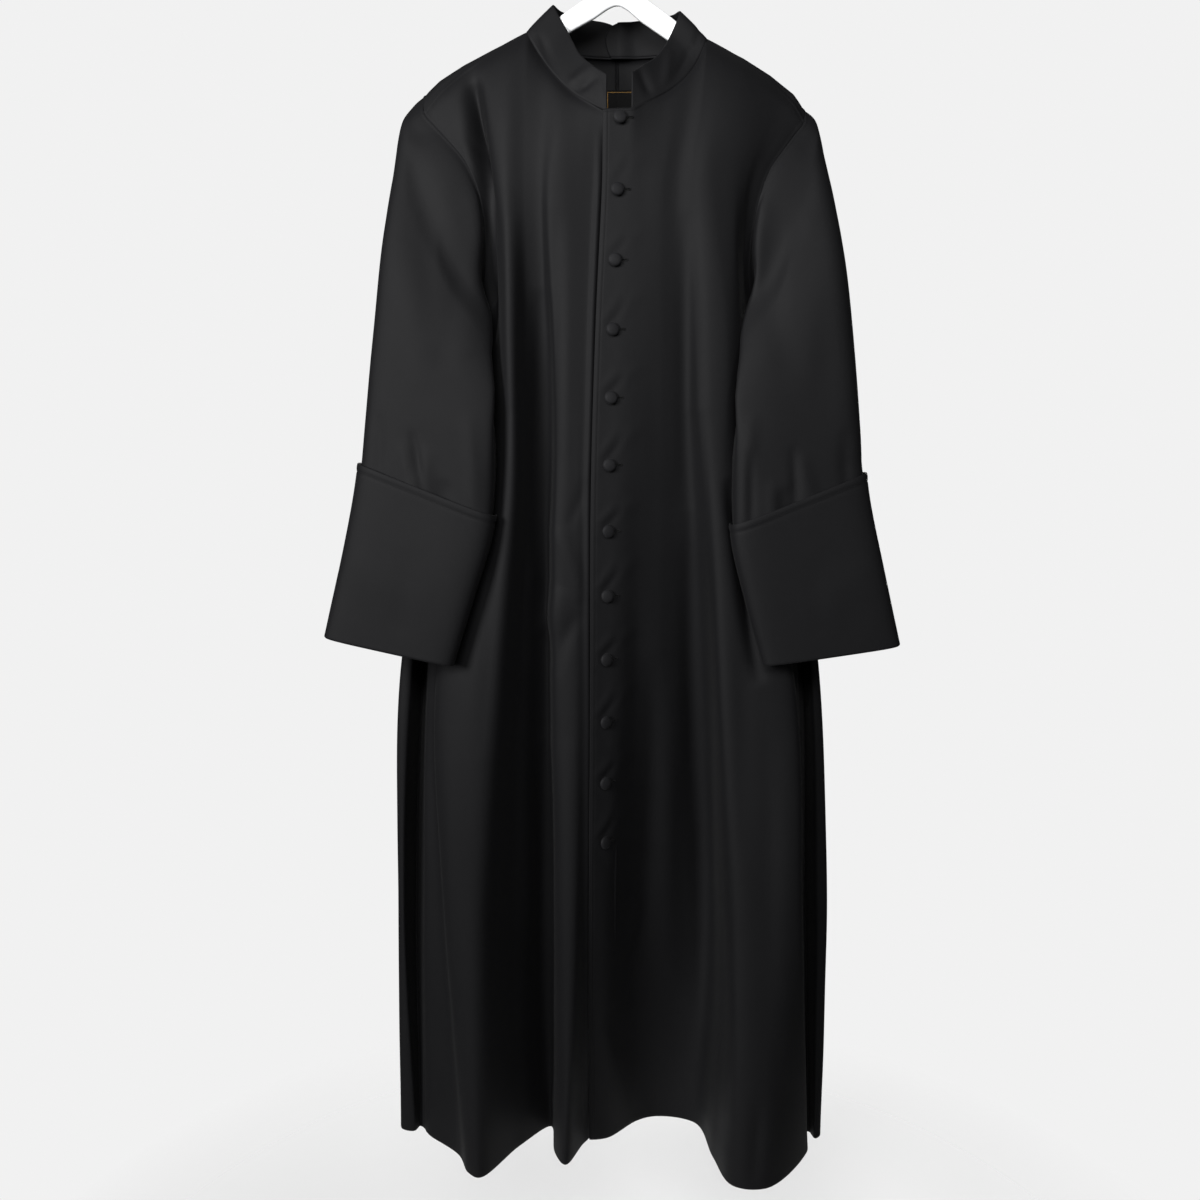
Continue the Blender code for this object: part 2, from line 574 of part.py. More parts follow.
def make_buttons(front, material):
    """Twelve covered buttons down the front that lies on top, each a low dome on a short shank."""
    profile = [(0, 0), (0.42, 0), (0.42, -0.10), (0.86, -0.16), (1, -0.34), (0.97, -0.52)]
    profile += [(0.84, -0.76), (0.6, -0.91), (0.3, -0.98), (0, -1)]
    mesh = bmesh.new()
    verts = [mesh.verts.new((r * BUTTON_RADIUS * MM, 0, h * BUTTON_HEIGHT * MM)) for r, h in profile]
    edges = [mesh.edges.new(pair) for pair in zip(verts, verts[1:])]
    bmesh.ops.spin(
        mesh,
        geom=verts + edges,
        cent=(0, 0, 0),
        axis=(0, 0, 1),
        angle=2 * math.pi,
        steps=BUTTON_SIDES,
        use_merge=True,
    )
    bmesh.ops.remove_doubles(mesh, verts=mesh.verts, dist=1e-6)
    first = link("button_01", mesh, material)
    for index in range(BUTTON_COUNT):
        made = first if index == 0 else bpy.data.objects.new(f"button_{index + 1:02d}", first.data)
        if index:
            bpy.context.scene.collection.objects.link(made)
        z = FIRST_BUTTON_Z - index * BUTTON_PITCH
        x = float(np.interp(-z, -np.array(BUTTON_LINE["z"]), BUTTON_LINE["x"]))
        reach = 9
        across = Vector((2 * reach, depth_at(front, x + reach, z) - depth_at(front, x - reach, z), 0))
        upward = Vector((0, depth_at(front, x, z + reach) - depth_at(front, x, z - reach), 2 * reach))
        into = across.cross(upward).normalized() * -1
        if into.y < 0:
            into = -into
        upright = (upward - into * upward.dot(into)).normalized()
        sideways = upright.cross(into).normalized()
        place = Vector((x, depth_at(front, x, z), z)) - into * (WALL / 2 + BUTTON_STAND_OFF)
        turn = Matrix((sideways, upright, into)).transposed()
        made.matrix_world = Matrix.Translation(place * MM) @ turn.to_4x4()


def make_label(back_right, back_left, material):
    """The neck label, laid on the inside of the two backs under the collar."""
    xs = LABEL["x"] + LABEL["width"] * np.linspace(-0.5, 0.5, 5)
    zs = LABEL["top"] - LABEL["height"] * np.linspace(0, 1, 3)
    inside = WALL / 2 + LABEL["wall"] / 2 + 0.6
    grid = [[(x, depth_at(back_right if x < 0 else back_left, x, z) - inside, z) for x in xs] for z in zs]
    sheet("neck_label", np.array(grid), LABEL["wall"], material)


def make_hanger(plastic, steel):
    """A flat hanger with two arms, and a round wire hook that carries it."""
    right, left = HANGER_ARM["right"], HANGER_ARM["left"]
    xs = right["x"][:0:-1] + left["x"]
    tops = right["top"][:0:-1] + left["top"]
    bottoms = right["bottom"][:0:-1] + left["bottom"]
    outline = list(zip(xs, tops)) + list(zip(xs, bottoms))[::-1]
    mesh = bmesh.new()
    flat = [mesh.verts.new((x * MM, -HANGER_THICKNESS / 2 * MM, z * MM)) for x, z in outline]
    face = mesh.faces.new(flat)
    grown = bmesh.ops.extrude_face_region(mesh, geom=[face])
    moved = [item for item in grown["geom"] if isinstance(item, bmesh.types.BMVert)]
    bmesh.ops.translate(mesh, verts=moved, vec=(0, HANGER_THICKNESS * MM, 0))
    long_edges = [e for e in mesh.edges if abs(e.verts[0].co.y - e.verts[1].co.y) < 1e-6]
    bmesh.ops.bevel(
        mesh, geom=long_edges, offset=HANGER_ROUNDING * MM, segments=2, profile=0.5, affect="EDGES"
    )
    link("hanger", mesh, plastic)

    radius = HOOK_INNER_RADIUS + HOOK_WIRE / 2
    path = [(0.0, HOOK_FOOT_Z), (0.0, HOOK_NECK_Z)]
    bend = np.radians(np.linspace(*HOOK_BEND_DEGREES, HOOK_POINTS))
    path += [(radius * math.cos(a), radius * math.sin(a) - HOOK_INNER_RADIUS) for a in bend]
    hook = tube([(x, 0, z) for x, z in path], HOOK_WIRE / 2, HOOK_SIDES)
    link("hanger_hook", hook, steel)


def tube(points, radius, sides):
    """A round rod along a path in the XZ plane, with flat ends."""
    points = np.array(points, float)
    along = np.gradient(points, axis=0)
    along /= np.linalg.norm(along, axis=1)[:, None]
    across = np.cross(along, (0, 1, 0))
    mesh = bmesh.new()
    turns = np.linspace(0, 2 * np.pi, sides, endpoint=False)
    rings = []
    for point, side in zip(points, across):
        ring = [point + radius * (math.cos(t) * side + math.sin(t) * np.array((0, 1, 0))) for t in turns]
        rings.append([mesh.verts.new(Vector(p) * MM) for p in ring])
    for low, high in zip(rings, rings[1:]):
        for i in range(sides):
            j = (i + 1) % sides
            mesh.faces.new((low[i], low[j], high[j], high[i]))
    mesh.faces.new(rings[0])
    mesh.faces.new(rings[-1])
    return mesh


def main():
    for old in list(bpy.data.objects):
        bpy.data.objects.remove(old)
    cloth = make_material("black_cloth", (0.022, 0.022, 0.025), 0.72)
    button_cloth = make_material("button_cloth", (0.030, 0.031, 0.034), 0.6)
    label_cloth = make_material("label_cloth", (0.012, 0.012, 0.012), 0.5)
    plastic = make_material("white_plastic", (0.82, 0.83, 0.84), 0.35)
    steel = make_material("hook_steel", (0.62, 0.62, 0.63), 0.3, 1.0)

    panels = {
        "front_right": front_panel("right", RIGHT_FRONT_FOLDS, 4),
        "front_left": front_panel("left", LEFT_FRONT_FOLDS, 4),
        "back_right": back_panel("right", RIGHT_BACK_FOLDS, 3),
        "back_left": back_panel("left", LEFT_BACK_FOLDS, 3),
    }
    for name, grid in panels.items():
        centre_trim = CENTRE_BACK_TRIM if name.startswith("back") else 0
        cut = trim(grid, first_row=SHOULDER_TRIM, first_column=centre_trim, last_column=SEAM_TRIM)
        sheet(name, cut, WALL, cloth)
    for side in ("right", "left"):
        rings = sleeve_rings(side, SLEEVE_COLUMNS)
        tube_of_cloth = trim_ring(spline(rings, SLEEVE_ROWS), ARMHOLE_TRIM)
        sheet("sleeve_" + side, tube_of_cloth, WALL, cloth, closed=True)
        sheet("cuff_" + side, cuff_grid(rings), WALL, cloth, closed=True)
        collar = trim(collar_half(side, COLLAR_COLUMNS), first_row=COLLAR_TRIM)
        sheet("collar_" + side, collar, COLLAR_WALL, cloth)
    make_buttons(panels["front_left"], button_cloth)
    make_label(panels["back_right"], panels["back_left"], label_cloth)
    make_hanger(plastic, steel)


main()
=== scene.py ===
# %% [markdown]
# # A black cassock on a coat hanger
#
# A cassock is a long robe that buttons down the front. It is cut from a few large pieces of black
# cloth: two fronts, two backs, two sleeves with deep turned-back cuffs, and a standing collar in
# two halves. It hangs on a white hanger, and its own weight pulls the cloth into long folds.
#
# The rough solids of every piece are loaded first. Each one is then replaced by a finer piece
# that follows the same lines.

# %% Load the solids
import math

import bmesh
import bpy
import numpy as np
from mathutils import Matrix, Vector


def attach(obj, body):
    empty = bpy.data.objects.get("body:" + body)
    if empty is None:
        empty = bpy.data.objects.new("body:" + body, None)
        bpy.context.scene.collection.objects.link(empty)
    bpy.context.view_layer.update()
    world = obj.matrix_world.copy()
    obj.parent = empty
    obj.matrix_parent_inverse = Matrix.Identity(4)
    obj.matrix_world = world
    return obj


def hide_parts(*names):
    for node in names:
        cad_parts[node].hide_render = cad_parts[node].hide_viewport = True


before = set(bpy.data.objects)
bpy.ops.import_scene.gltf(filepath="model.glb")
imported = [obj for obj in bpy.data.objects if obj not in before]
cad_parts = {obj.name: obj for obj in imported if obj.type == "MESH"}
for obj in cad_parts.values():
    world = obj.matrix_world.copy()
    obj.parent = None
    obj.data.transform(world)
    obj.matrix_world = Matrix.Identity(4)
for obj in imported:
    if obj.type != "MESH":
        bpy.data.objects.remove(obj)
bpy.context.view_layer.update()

print("solids:", len(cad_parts), "nodes")

# %% [markdown]
# ## Lengths and curves
#
# All lengths below are in millimetres, because cloth is cut and sewn in millimetres, and MM turns
# them into Blender's metres. Left and right are the wearer's, so the left front lies at +X.
#
# A fold could be drawn by hand or left to a cloth simulation. Here it is a smooth curve through a
# few measured points, because the same points then give the same folds each time.

# %% A smooth curve through points, and short words for what is used often
MM = 0.001
FINE_STEPS = 16


def spline(points, stations):
    """The smooth curve through points, read at stations counted in points, such as 2.5.

    Between two points the curve is a cubic with the points and their tangents at its ends:
    h00 a + h10 s ta + h01 b + h11 s tb. A tangent is the mean of the chords on both sides, each
    weighed by the root of the other's length, so that the curve never loops.
    """
    points = np.asarray(points, float)
    chord = np.diff(points, axis=0)
    step = np.sqrt(np.maximum(np.linalg.norm(chord, axis=-1, keepdims=True), 0.01))
    rate = chord / step
    share = step[:-1] / (step[:-1] + step[1:])
    inner = (1 - share) * rate[:-1] + share * rate[1:]
    tangent = np.concatenate([rate[:1], inner, rate[-1:]])
    low = np.clip(np.floor(stations).astype(int), 0, len(points) - 2)
    t = (np.asarray(stations, float) - low).reshape((-1,) + (1,) * (points.ndim - 1))
    span = step[low]
    return (
        (1 + 2 * t) * (1 - t) ** 2 * points[low]
        + t * (1 - t) ** 2 * span * tangent[low]
        + t * t * (3 - 2 * t) * points[low + 1]
        - t * t * (1 - t) * span * tangent[low + 1]
    )


def unit(vectors):
    """Each vector at a length of 1."""
    return vectors / np.linalg.norm(vectors, axis=-1, keepdims=True)


def run_along(line):
    """How far each point of a line is from its first one."""
    return np.concatenate([[0], np.cumsum(np.linalg.norm(np.diff(line, axis=0), axis=1))])


def fade_in(distance, over):
    """0 at an edge, rising to 1 at a distance from it."""
    return np.clip(distance / over, 0, 1)


def heap(distance, width):
    """A rounded heap of height 1 about a line: exp(-(distance / width)^2)."""
    return np.exp(-((distance / width) ** 2))


def table_points(table):
    """The points of a table with x, y and z columns."""
    return np.column_stack([table["x"], table["y"], table["z"]]).astype(float)


def fine_line(points):
    """The smooth curve through points, as many close points."""
    return spline(points, np.linspace(0, len(points) - 1, FINE_STEPS * (len(points) - 1) + 1))


def read_down(line, z):
    """The points of a falling line at the heights z."""
    x, y = (np.interp(-z, -line[:, 2], line[:, axis]) for axis in (0, 1))
    return np.column_stack([x, y, z])


def divide(start, *spans):
    """Stations from start on: each span is (its end, how many steps it is divided into)."""
    parts = [np.array([float(start)])]
    for end, count in spans:
        parts.append(np.linspace(parts[-1][-1], end, count + 1)[1:])
    return np.round(np.concatenate(parts), 9)


print("a curve read half way:", spline([(0, 0), (1, 1), (2, 0)], np.array([0.5]))[0])

# %% [markdown]
# ## Where the cloth hangs
#
# Each fold line runs down the garment. Its row says how far across (x) and how far forward (y) it
# is at six heights below the rail. More negative y is nearer to the viewer, so a crest has a
# lower y than the troughs beside it.

# %% Fold lines of the fronts and backs
LEVELS = (-300, -450, -650, -900, -1200, -1530)
FOLDS = {}
FOLDS["front_right"] = {
    "under_edge": ((17, -53), (10, -56), (5, -57), (2, -48), (-1, -36), (-1, 5)),
    "at_edge": ((-20, -54), (-27, -59), (-33, -63), (-34, -63), (-36, -54), (-37, -20)),
    "roll_crest": ((-50, -56), (-51, -61), (-50, -66), (-51, -72), (-55, -76), (-66, -77)),
    "roll_side": ((-78, -56), (-77, -60), (-75, -64), (-76, -64), (-77, -60), (-80, -52)),
    "trough": ((-90, -48), (-88, -40), (-86, -30), (-87, -16), (-88, -4), (-88, 8)),
    "flank": ((-108, -47), (-108, -44), (-107, -46), (-119, -40), (-131, -34), (-128, -36)),
    "side_crest": ((-130, -50), (-127, -60), (-127, -71), (-151, -82), (-173, -90), (-175, -103)),
    "side_edge": ((-145, -42), (-142, -38), (-160, -34), (-219, -56), (-211, -74), (-190, -93)),
    "recess": ((-152, -38), (-151, -23), (-190, -10), (-229, -16), (-225, -28), (-206, -57)),
    "lip": ((-158, -33), (-160, -9), (-203, 2), (-239, -2), (-250, -8), (-251, -14)),
}
FOLDS["front_left"] = {
    "edge": ((-18, -57), (-25, -62), (-31, -67), (-32, -68), (-34, -60), (-35, -24)),
    "button_strip": ((14, -58), (10, -61), (5, -62), (2, -54), (-12, -46), (-10, -18)),
    "valley_side": ((31, -57), (30, -59), (27, -55), (26, -36), (22, -8), (30, 21)),
    "valley_floor": ((50, -56), (49, -56), (50, -48), (54, -26), (58, 8), (58, 31)),
    "valley_end": ((69, -53), (75, -51), (86, -40), (97, -12), (115, 20), (110, 16)),
    "crest_side": ((85, -55), (92, -57), (102, -60), (113, -54), (130, -46), (128, -62)),
    "crest": ((98, -56), (107, -61), (116, -66), (129, -75), (148, -92), (147, -119)),
    "plateau": ((114, -54), (127, -61), (136, -62), (174, -74), (192, -95), (190, -124)),
    "side_edge": ((136, -48), (142, -50), (159, -38), (217, -62), (231, -84), (252, -52)),
    "recess": ((148, -41), (150, -28), (182, -10), (221, -18), (230, -26), (256, -36)),
    "lip": ((156, -34), (157, -9), (195, 2), (230, -2), (239, -8), (256, -22)),
}
FOLDS["back_right"] = {
    "pleat_bottom": ((-193, 33), (-172, 12), (-220, 29), (-254, 44), (-270, 42), (-268, 8)),
    "pleat_inner": ((-190, 35), (-178, 21), (-229, 24), (-264, 4), (-281, 2), (-274, -3)),
    "pleat_outer": ((-182, 37), (-185, 32), (-236, 30), (-277, 7), (-288, 8), (-292, 3)),
    "side_ridge": ((-168, 39), (-176, 44), (-228, 48), (-268, 50), (-280, 54), (-284, 58)),
    "side_trough": ((-138, 42), (-140, 48), (-178, 52), (-212, 54), (-220, 54), (-226, 54)),
    "ridge": ((-104, 47), (-106, 54), (-128, 62), (-152, 70), (-158, 80), (-164, 90)),
    "trough": ((-66, 49), (-66, 53), (-78, 56), (-92, 55), (-96, 55), (-100, 56)),
    "inner_ridge": ((-32, 51), (-32, 56), (-36, 63), (-42, 69), (-46, 78), (-48, 87)),
    "centre_back": ((0, 52), (-2, 56), (-4, 59), (-6, 61), (-8, 64), (-8, 68)),
}
FOLDS["back_left"] = {
    "pleat_bottom": ((191, 33), (170, 12), (211, 29), (246, 44), (257, 42), (264, -6)),
    "pleat_inner": ((188, 35), (176, 21), (220, 24), (251, 4), (266, 2), (269, -20)),
    "pleat_outer": ((180, 37), (183, 32), (226, 31), (260, 7), (278, 4), (277, -13)),
    "side_ridge": ((166, 39), (174, 44), (216, 48), (254, 50), (270, 52), (268, 46)),
    "side_trough": ((136, 42), (138, 48), (170, 52), (200, 54), (212, 54), (210, 54)),
    "ridge": ((100, 47), (102, 54), (122, 62), (142, 71), (150, 82), (148, 92)),
    "trough": ((66, 49), (64, 53), (72, 56), (84, 55), (88, 55), (84, 56)),
    "inner_ridge": ((32, 51), (30, 56), (30, 62), (32, 68), (34, 76), (36, 86)),
    "centre_back": ((0, 52), (-2, 56), (-4, 59), (-6, 61), (-8, 64), (-8, 68)),
}
print("fold lines:", {name: len(table) for name, table in FOLDS.items()})

# %% The seams: neckline, shoulder ridge, armholes and sides
NECK_CORNER = 5  # the entry of NECKLINE where the shoulder seam starts
NECKLINE_Y = (-55, -48, -37, -28, -17, -5, 18, 34, 43, 46)
NECKLINE = {
    "right": {
        "x": (-14, -34, -56, -72, -88, -106, -94, -68, -36, 0),
        "y": NECKLINE_Y,
        "z": (-221, -210, -194, -177, -155, -123, -129, -135, -138, -139),
    },
    "left": {
        "x": (16, 34, 56, 73, 89, 103, 92, 67, 36, 0),
        "y": NECKLINE_Y,
        "z": (-219, -209, -196, -182, -162, -130, -133, -137, -138, -139),
    },
}
LAP_START = {"right": (17, -52, -221), "left": (-17, -58, -221)}
LAP_END = {"right": (-14, -54, -221), "left": (16, -58, -220)}
RIDGE = {
    "right": {"x": (-106, -150, -180, -210, -229), "z": (-122, -143, -158, -176, -193)},
    "left": {"x": (103, 148, 180, 208, 221), "z": (-129, -151, -170, -191, -208)},
}
ARMHOLE_FRONT = {
    "right": {
        "x": (-229, -229, -214, -200, -177, -161, -158, -168),
        "y": (0, -11, -17, -22, -27, -29, -20, 4),
        "z": (-193, -213, -231, -246, -275, -320, -385, -450),
    },
    "left": {
        "x": (221, 221, 208, 196, 178, 164, 158, 166),
        "y": (0, -9, -15, -20, -25, -28, -20, 4),
        "z": (-208, -223, -240, -256, -282, -326, -390, -450),
    },
}
ARMHOLE_BACK = {
    "right": {
        "x": (-229, -226, -216, -207, -197, -190, -180, -168),
        "y": (0, 10, 18, 24, 28, 25, 15, 4),
        "z": (-193, -208, -228, -250, -290, -335, -390, -450),
    },
    "left": {
        "x": (221, 218, 212, 204, 195, 188, 178, 166),
        "y": (0, 9, 17, 23, 28, 25, 15, 4),
        "z": (-208, -220, -238, -258, -296, -340, -392, -450),
    },
}
SIDE_SEAM = {
    "right": {"x": (-168, -212, -244, -256, -262), "y": (4, 18, 20, 16, 4)},
    "left": {"x": (166, 204, 236, 246, 258), "y": (4, 18, 20, 16, -4)},
}
print("neckline points:", {side: len(NECKLINE[side]["x"]) for side in NECKLINE})

# %% Sleeves, cuffs and collar
# Sections of a sleeve from the armhole to the wrist: the inner and outer end of each, and its half
# depth in front. fold_in is how far its front hangs in over the armhole, and clear_back is how far
# its back stands clear of the body.
BOTH_SLEEVES = {
    "y_in": (-14, -30, -45, -58, -66, -73, -79, -84),
    "y_out": (-1, -7, -16, -28, -37, -45, -54, -61),
    "half_depth": (30, 33, 33, 29, 25, 21, 18, 15),
    "fold_in": (27, 24, 18, 7, 0, 0, 0, 0),
    "clear_back": (10, 9, 9, 4, 0, 0, 0, 0),
}
SLEEVE = {
    "right": {
        **BOTH_SLEEVES,
        "x_in": (-171, -163, -152, -146, -147, -153, -176, -198),
        "z_in": (-476, -512, -552, -600, -650, -702, -780, -851),
        "x_out": (-256, -268, -279, -292, -302, -311, -330, -350),
        "z_out": (-224, -290, -370, -480, -575, -650, -740, -822),
    },
    "left": {
        **BOTH_SLEEVES,
        "x_in": (169, 159, 146, 139, 138, 141, 158, 176),
        "z_in": (-476, -514, -556, -606, -659, -714, -786, -851),
        "x_out": (240, 251, 263, 277, 289, 299, 319, 338),
        "z_out": (-238, -300, -378, -488, -585, -662, -752, -832),
    },
}
SLEEVE_SQUARE = 0.46  # 1 gives oval sections, and less gives squarer, flatter ones
SLEEVE_BACK_DEPTH = 0.6  # the back's depth as a share of the front's
SLEEVE_HEAD = {"out": 13, "out_each_side": 4, "forward": 3, "down": 9, "down_on_top": 12}
# What else swells in one place of a ring: how far, and its middle and half width in degrees, with
# 0 on the outer end, 90 in front and 180 on the inner end. A section's own swells have no size,
# because their sizes are in the table above.
HEAD_SWELLS = {
    "out_behind": (8, 220, 65),
    "out_below": (6, 175, 65),
    "back": (5, 290, 65),
    "forward_below": (9, 130, 55),
}
FOLD_IN_AT, CLEAR_BACK_AT = (125, 50), (-140, 65)
CUFF_TOP_STATION = 6.65  # the cuff's top edge, counted in sections with the armhole as 0
CUFF_LENGTH_BEYOND = 9  # how far the cuff's fold lies beyond the sleeve's last section
CUFF_STAND_OFF = 3.6  # how far its outer layer stands off the inner one
CUFF_FLARE = 1.2  # and how much further at its fold
COLLAR_TOP = {  # how far the collar's top edge lies in, back and up from the neckline's points
    "in": (0, 5, 12, 20, 27, 30, 26, 17, 8, 0),
    "back": (6, 8, 9, 9, 8, 4, -4, -7, -6, -5),
    "up": (40, 40, 39, 37, 34, 30, 34, 38, 39, 38),
}
COLLAR_LAP_HEIGHTS = (0, 0.2, 0.45, 0.7, 0.9, 1)  # the lap's end is round: how far it reaches
COLLAR_LAP = (7, 11, 13.5, 12, 7, 1)  # at each of these shares of the collar's height
COLLAR_LAP_STEP = 4  # how far the lap stands off the other half
COLLAR_NOTCH = 5  # how far the other half's top drops beside it
COLLAR_RISE_POWER = 0.92
COLLAR_LAP_COLUMNS, COLLAR_STEP_COLUMNS = 10, 12  # the lap's own, and where its step starts
BUTTON_LINE = {"z": (-221, -450, -650, -900, -1200), "x": (2, -6, -11, -15, -17)}
FIRST_BUTTON, BUTTON_PITCH, BUTTON_COUNT = -229, 79, 12
BUTTON_HEIGHTS = [FIRST_BUTTON - BUTTON_PITCH * n for n in range(BUTTON_COUNT)]
BUTTON_PLACES = [
    (float(np.interp(-z, -np.array(BUTTON_LINE["z"]), BUTTON_LINE["x"])), z) for z in BUTTON_HEIGHTS
]
print("buttons:", len(BUTTON_HEIGHTS), "from", BUTTON_HEIGHTS[0], "to", BUTTON_HEIGHTS[-1])

# %% [markdown]
# ## The body's panels as surfaces
#
# A front and a back are each one grid of points. Across the grid run the fold lines, and down it
# run the heights. A panel could be modelled flat and draped, but a grid that already passes
# through the seams meets its neighbour along exactly the same line, as sewn cloth does.


# %% One panel as a grid of points
def ridge_height(side, x):
    """The height of the shoulder's ridge at x, straight between the points of its table."""
    table = RIDGE[side]
    order = np.argsort(table["x"])
    return np.interp(x, np.array(table["x"], float)[order], np.array(table["z"], float)[order])


def shoulder_seam(side, share):
    """The shoulder seam at shares of its way outwards.

    Its height is the ridge's less a drop, and the drop changes with the square of the share.
    """
    start = table_points(NECKLINE[side])[NECK_CORNER]
    end = table_points(ARMHOLE_FRONT[side])[1]
    line = start + share[:, None] * (end - start)
    below = (1 - share**2) * (ridge_height(side, start[0]) - start[2])
    below += share**2 * (ridge_height(side, end[0]) - end[2])
    line[:, 2] = ridge_height(side, line[:, 0]) - below
    return line


def side_line(side, armhole):
    """One falling edge as close points: an armhole to the underarm, then the side seam."""
    seam = SIDE_SEAM[side]
    lower = np.column_stack([seam["x"], seam["y"], LEVELS[1:]]).astype(float)
    above = lower[:1] + (0, 0, LEVELS[0] - LEVELS[1])
    below_underarm = fine_line(np.concatenate([above, lower]))[FINE_STEPS + 1 :]
    return np.concatenate([fine_line(table_points(armhole[side])), below_underarm])


def hang(control, stations, row_stations, side_edge, follow_from):
    """The grid of a panel, with its side column drawn on to the edge of its neighbour.

    The pull is (the gap at the side) x (share of the way to the side) to the power SIDE_PULL, so
    that only the last few centimetres give way.
    """
    grid = spline(control, row_stations)
    wanted = grid[:, -1].copy()
    wanted[follow_from:] = read_down(side_edge, grid[follow_from:, -1, 2])
    share = (stations / stations[-1]) ** SIDE_PULL
    return grid + (wanted - grid[:, -1])[:, None, :] * share[None, :, None]


def level_rows(folds, edge, stations, reverse):
    """The cloth's line at each of the LEVELS, as a smooth curve through its fold lines."""
    lines = list(folds.values())[:: -1 if reverse else 1]
    side = read_down(edge, np.array(LEVELS, float))
    rows = [
        np.array([(*line[i], level) for line in lines] + [side[i]], float)
        for i, level in enumerate(LEVELS)
    ]
    return [spline(row, stations) for row in rows]


FRONT_NECK_FOLDS = 4  # how many fold lines of a panel start on the neckline
BACK_NECK_FOLDS = 3
SIDE_PULL = 6
LAP_BLEND = 0.5  # over how many stations the neckline leaves the lap
# The rows between a panel's top and its first level: shares of the way in x, y and z.
FRONT_NEAR, FRONT_MIDDLE = (0.12, 0.40, 0.14), (0.42, 0.80, 0.48)
BACK_MIDDLE = (0.45, 0.6, 0.45)
# A back's next two rows, from its neckline, and how far they lie behind the shoulder's ridge.
NECK_TO_CROWN, NECK_TO_BEHIND = (0, 3, -4), (0, 5, -13)
CROWN_Y, BEHIND_Y, BEHIND_DROP = 1, 12, 12


def front_panel(side, folds, stations, rows):
    """A front's middle surface, from its edge at the lap to the side.

    A point at (row r, station s) is a smooth curve down through the top edge, two rows below it
    and the six levels, each of them a smooth curve across through the fold lines.
    """
    last, corner = len(folds), 1 + FRONT_NECK_FOLDS
    ahead = stations[stations < 1][:, None]
    lap = np.array(LAP_START[side]) + ahead * np.subtract(LAP_END[side], LAP_START[side])
    on_neck = stations[(stations >= 1) & (stations <= corner)]
    neckline = table_points(NECKLINE[side])[: NECK_CORNER + 1]
    neck = spline(neckline, (on_neck - 1) * NECK_CORNER / FRONT_NECK_FOLDS)
    blend = heap(on_neck - 1, LAP_BLEND)[:, None]
    neck += (np.array(LAP_END[side], float) - neckline[0]) * blend
    seam = shoulder_seam(side, (stations[stations > corner] - corner) / (last - corner))
    top = np.concatenate([lap, neck, seam])
    edge = side_line(side, ARMHOLE_FRONT)
    levels = level_rows(folds, edge, stations, False)
    near = top + (levels[0] - top) * FRONT_NEAR
    middle = top + (levels[0] - top) * FRONT_MIDDLE
    return hang(np.array([top, near, middle, *levels]), stations, rows, edge, 0)


def back_panel(side, folds, stations, rows):
    """A back's middle surface, from the centre back to the side, over the shoulder's ridge."""
    last = len(folds)
    neckline = table_points(NECKLINE[side])[: NECK_CORNER - 1 : -1]
    on_neck = stations[stations <= BACK_NECK_FOLDS]
    neck = spline(neckline, on_neck * (len(neckline) - 1) / BACK_NECK_FOLDS)
    beyond = stations[stations > BACK_NECK_FOLDS] - BACK_NECK_FOLDS
    seam = shoulder_seam(side, beyond / (last - BACK_NECK_FOLDS))
    top = np.concatenate([neck, seam])
    corner = len(neck) - 1
    crown, behind = top.copy(), top.copy()
    crown[:corner] += NECK_TO_CROWN
    crown[corner:, 1] = CROWN_Y
    crown[corner:, 2] = ridge_height(side, top[corner:, 0])
    behind[:corner] += NECK_TO_BEHIND
    behind[corner:, 1] = BEHIND_Y
    behind[corner:, 2] = crown[corner:, 2] - BEHIND_DROP
    edge = side_line(side, ARMHOLE_BACK)
    levels = level_rows(folds, edge, stations, True)
    middle = behind + (levels[0] - behind) * BACK_MIDDLE
    from_crown = int(np.searchsorted(rows, 1))
    return hang(np.array([top, crown, behind, middle, *levels]), stations, rows, edge, from_crown)


# %% The four panels
def panel_stations(folds, edge_steps, lap_steps=5):
    """Stations across a panel, closer together where it is stitched and where the fronts lap."""
    near_edge = ((0.4, edge_steps), (0.8, 4), (1.4, lap_steps), (2, 6))
    return divide(0, *near_edge, *((n, 10) for n in range(3, len(folds) + 1)))


FRONT_ROWS = divide(0, (3, 22), (4, 34), (5, 48), (6, 62), (7, 74), (8, 50))
BACK_ROWS = divide(0, (2, 12), (4, 22), (5, 24), (6, 30), (7, 38), (8, 44), (9, 48))
EDGE_STEPS = {"front_right": (4, 16), "front_left": (16,), "back_right": (6,), "back_left": (6,)}
panels = {}
for name, folds in FOLDS.items():
    stations, side = panel_stations(folds, *EDGE_STEPS[name]), name.split("_")[1]
    if name.startswith("front"):
        panels[name] = front_panel(side, folds, stations, FRONT_ROWS)
    else:
        panels[name] = back_panel(side, folds, stations, BACK_ROWS)
    print(name, panels[name].shape[:2], "from", panels[name].min(axis=(0, 1)).round(), "mm")

# %% [markdown]
# ## Sleeves and cuffs as tubes
#
# A sleeve is a tube: a ring of points carried from the armhole to the wrist. Each ring is a
# squarish oval, since an empty sleeve hangs almost flat. The cuff is the same cloth turned back
# over itself, so its grid goes down inside the wrist, round the fold, and up again outside.


# %% Rings down a sleeve
def bump(turn, centre_degrees, half_width_degrees):
    """A smooth rise to 1 round one place of a ring: a squared cosine, and 0 away from it."""
    away = (turn - math.radians(centre_degrees)) / math.radians(half_width_degrees)
    return np.where(np.abs(away) < 1, np.cos(away * math.pi / 2) ** 2, 0)


def even_lengths(line, count):
    """Points spaced evenly along a line of close points."""
    run = run_along(line)
    wanted = np.linspace(0, run[-1], count)
    return np.column_stack([np.interp(wanted, run, line[:, axis]) for axis in range(3)])


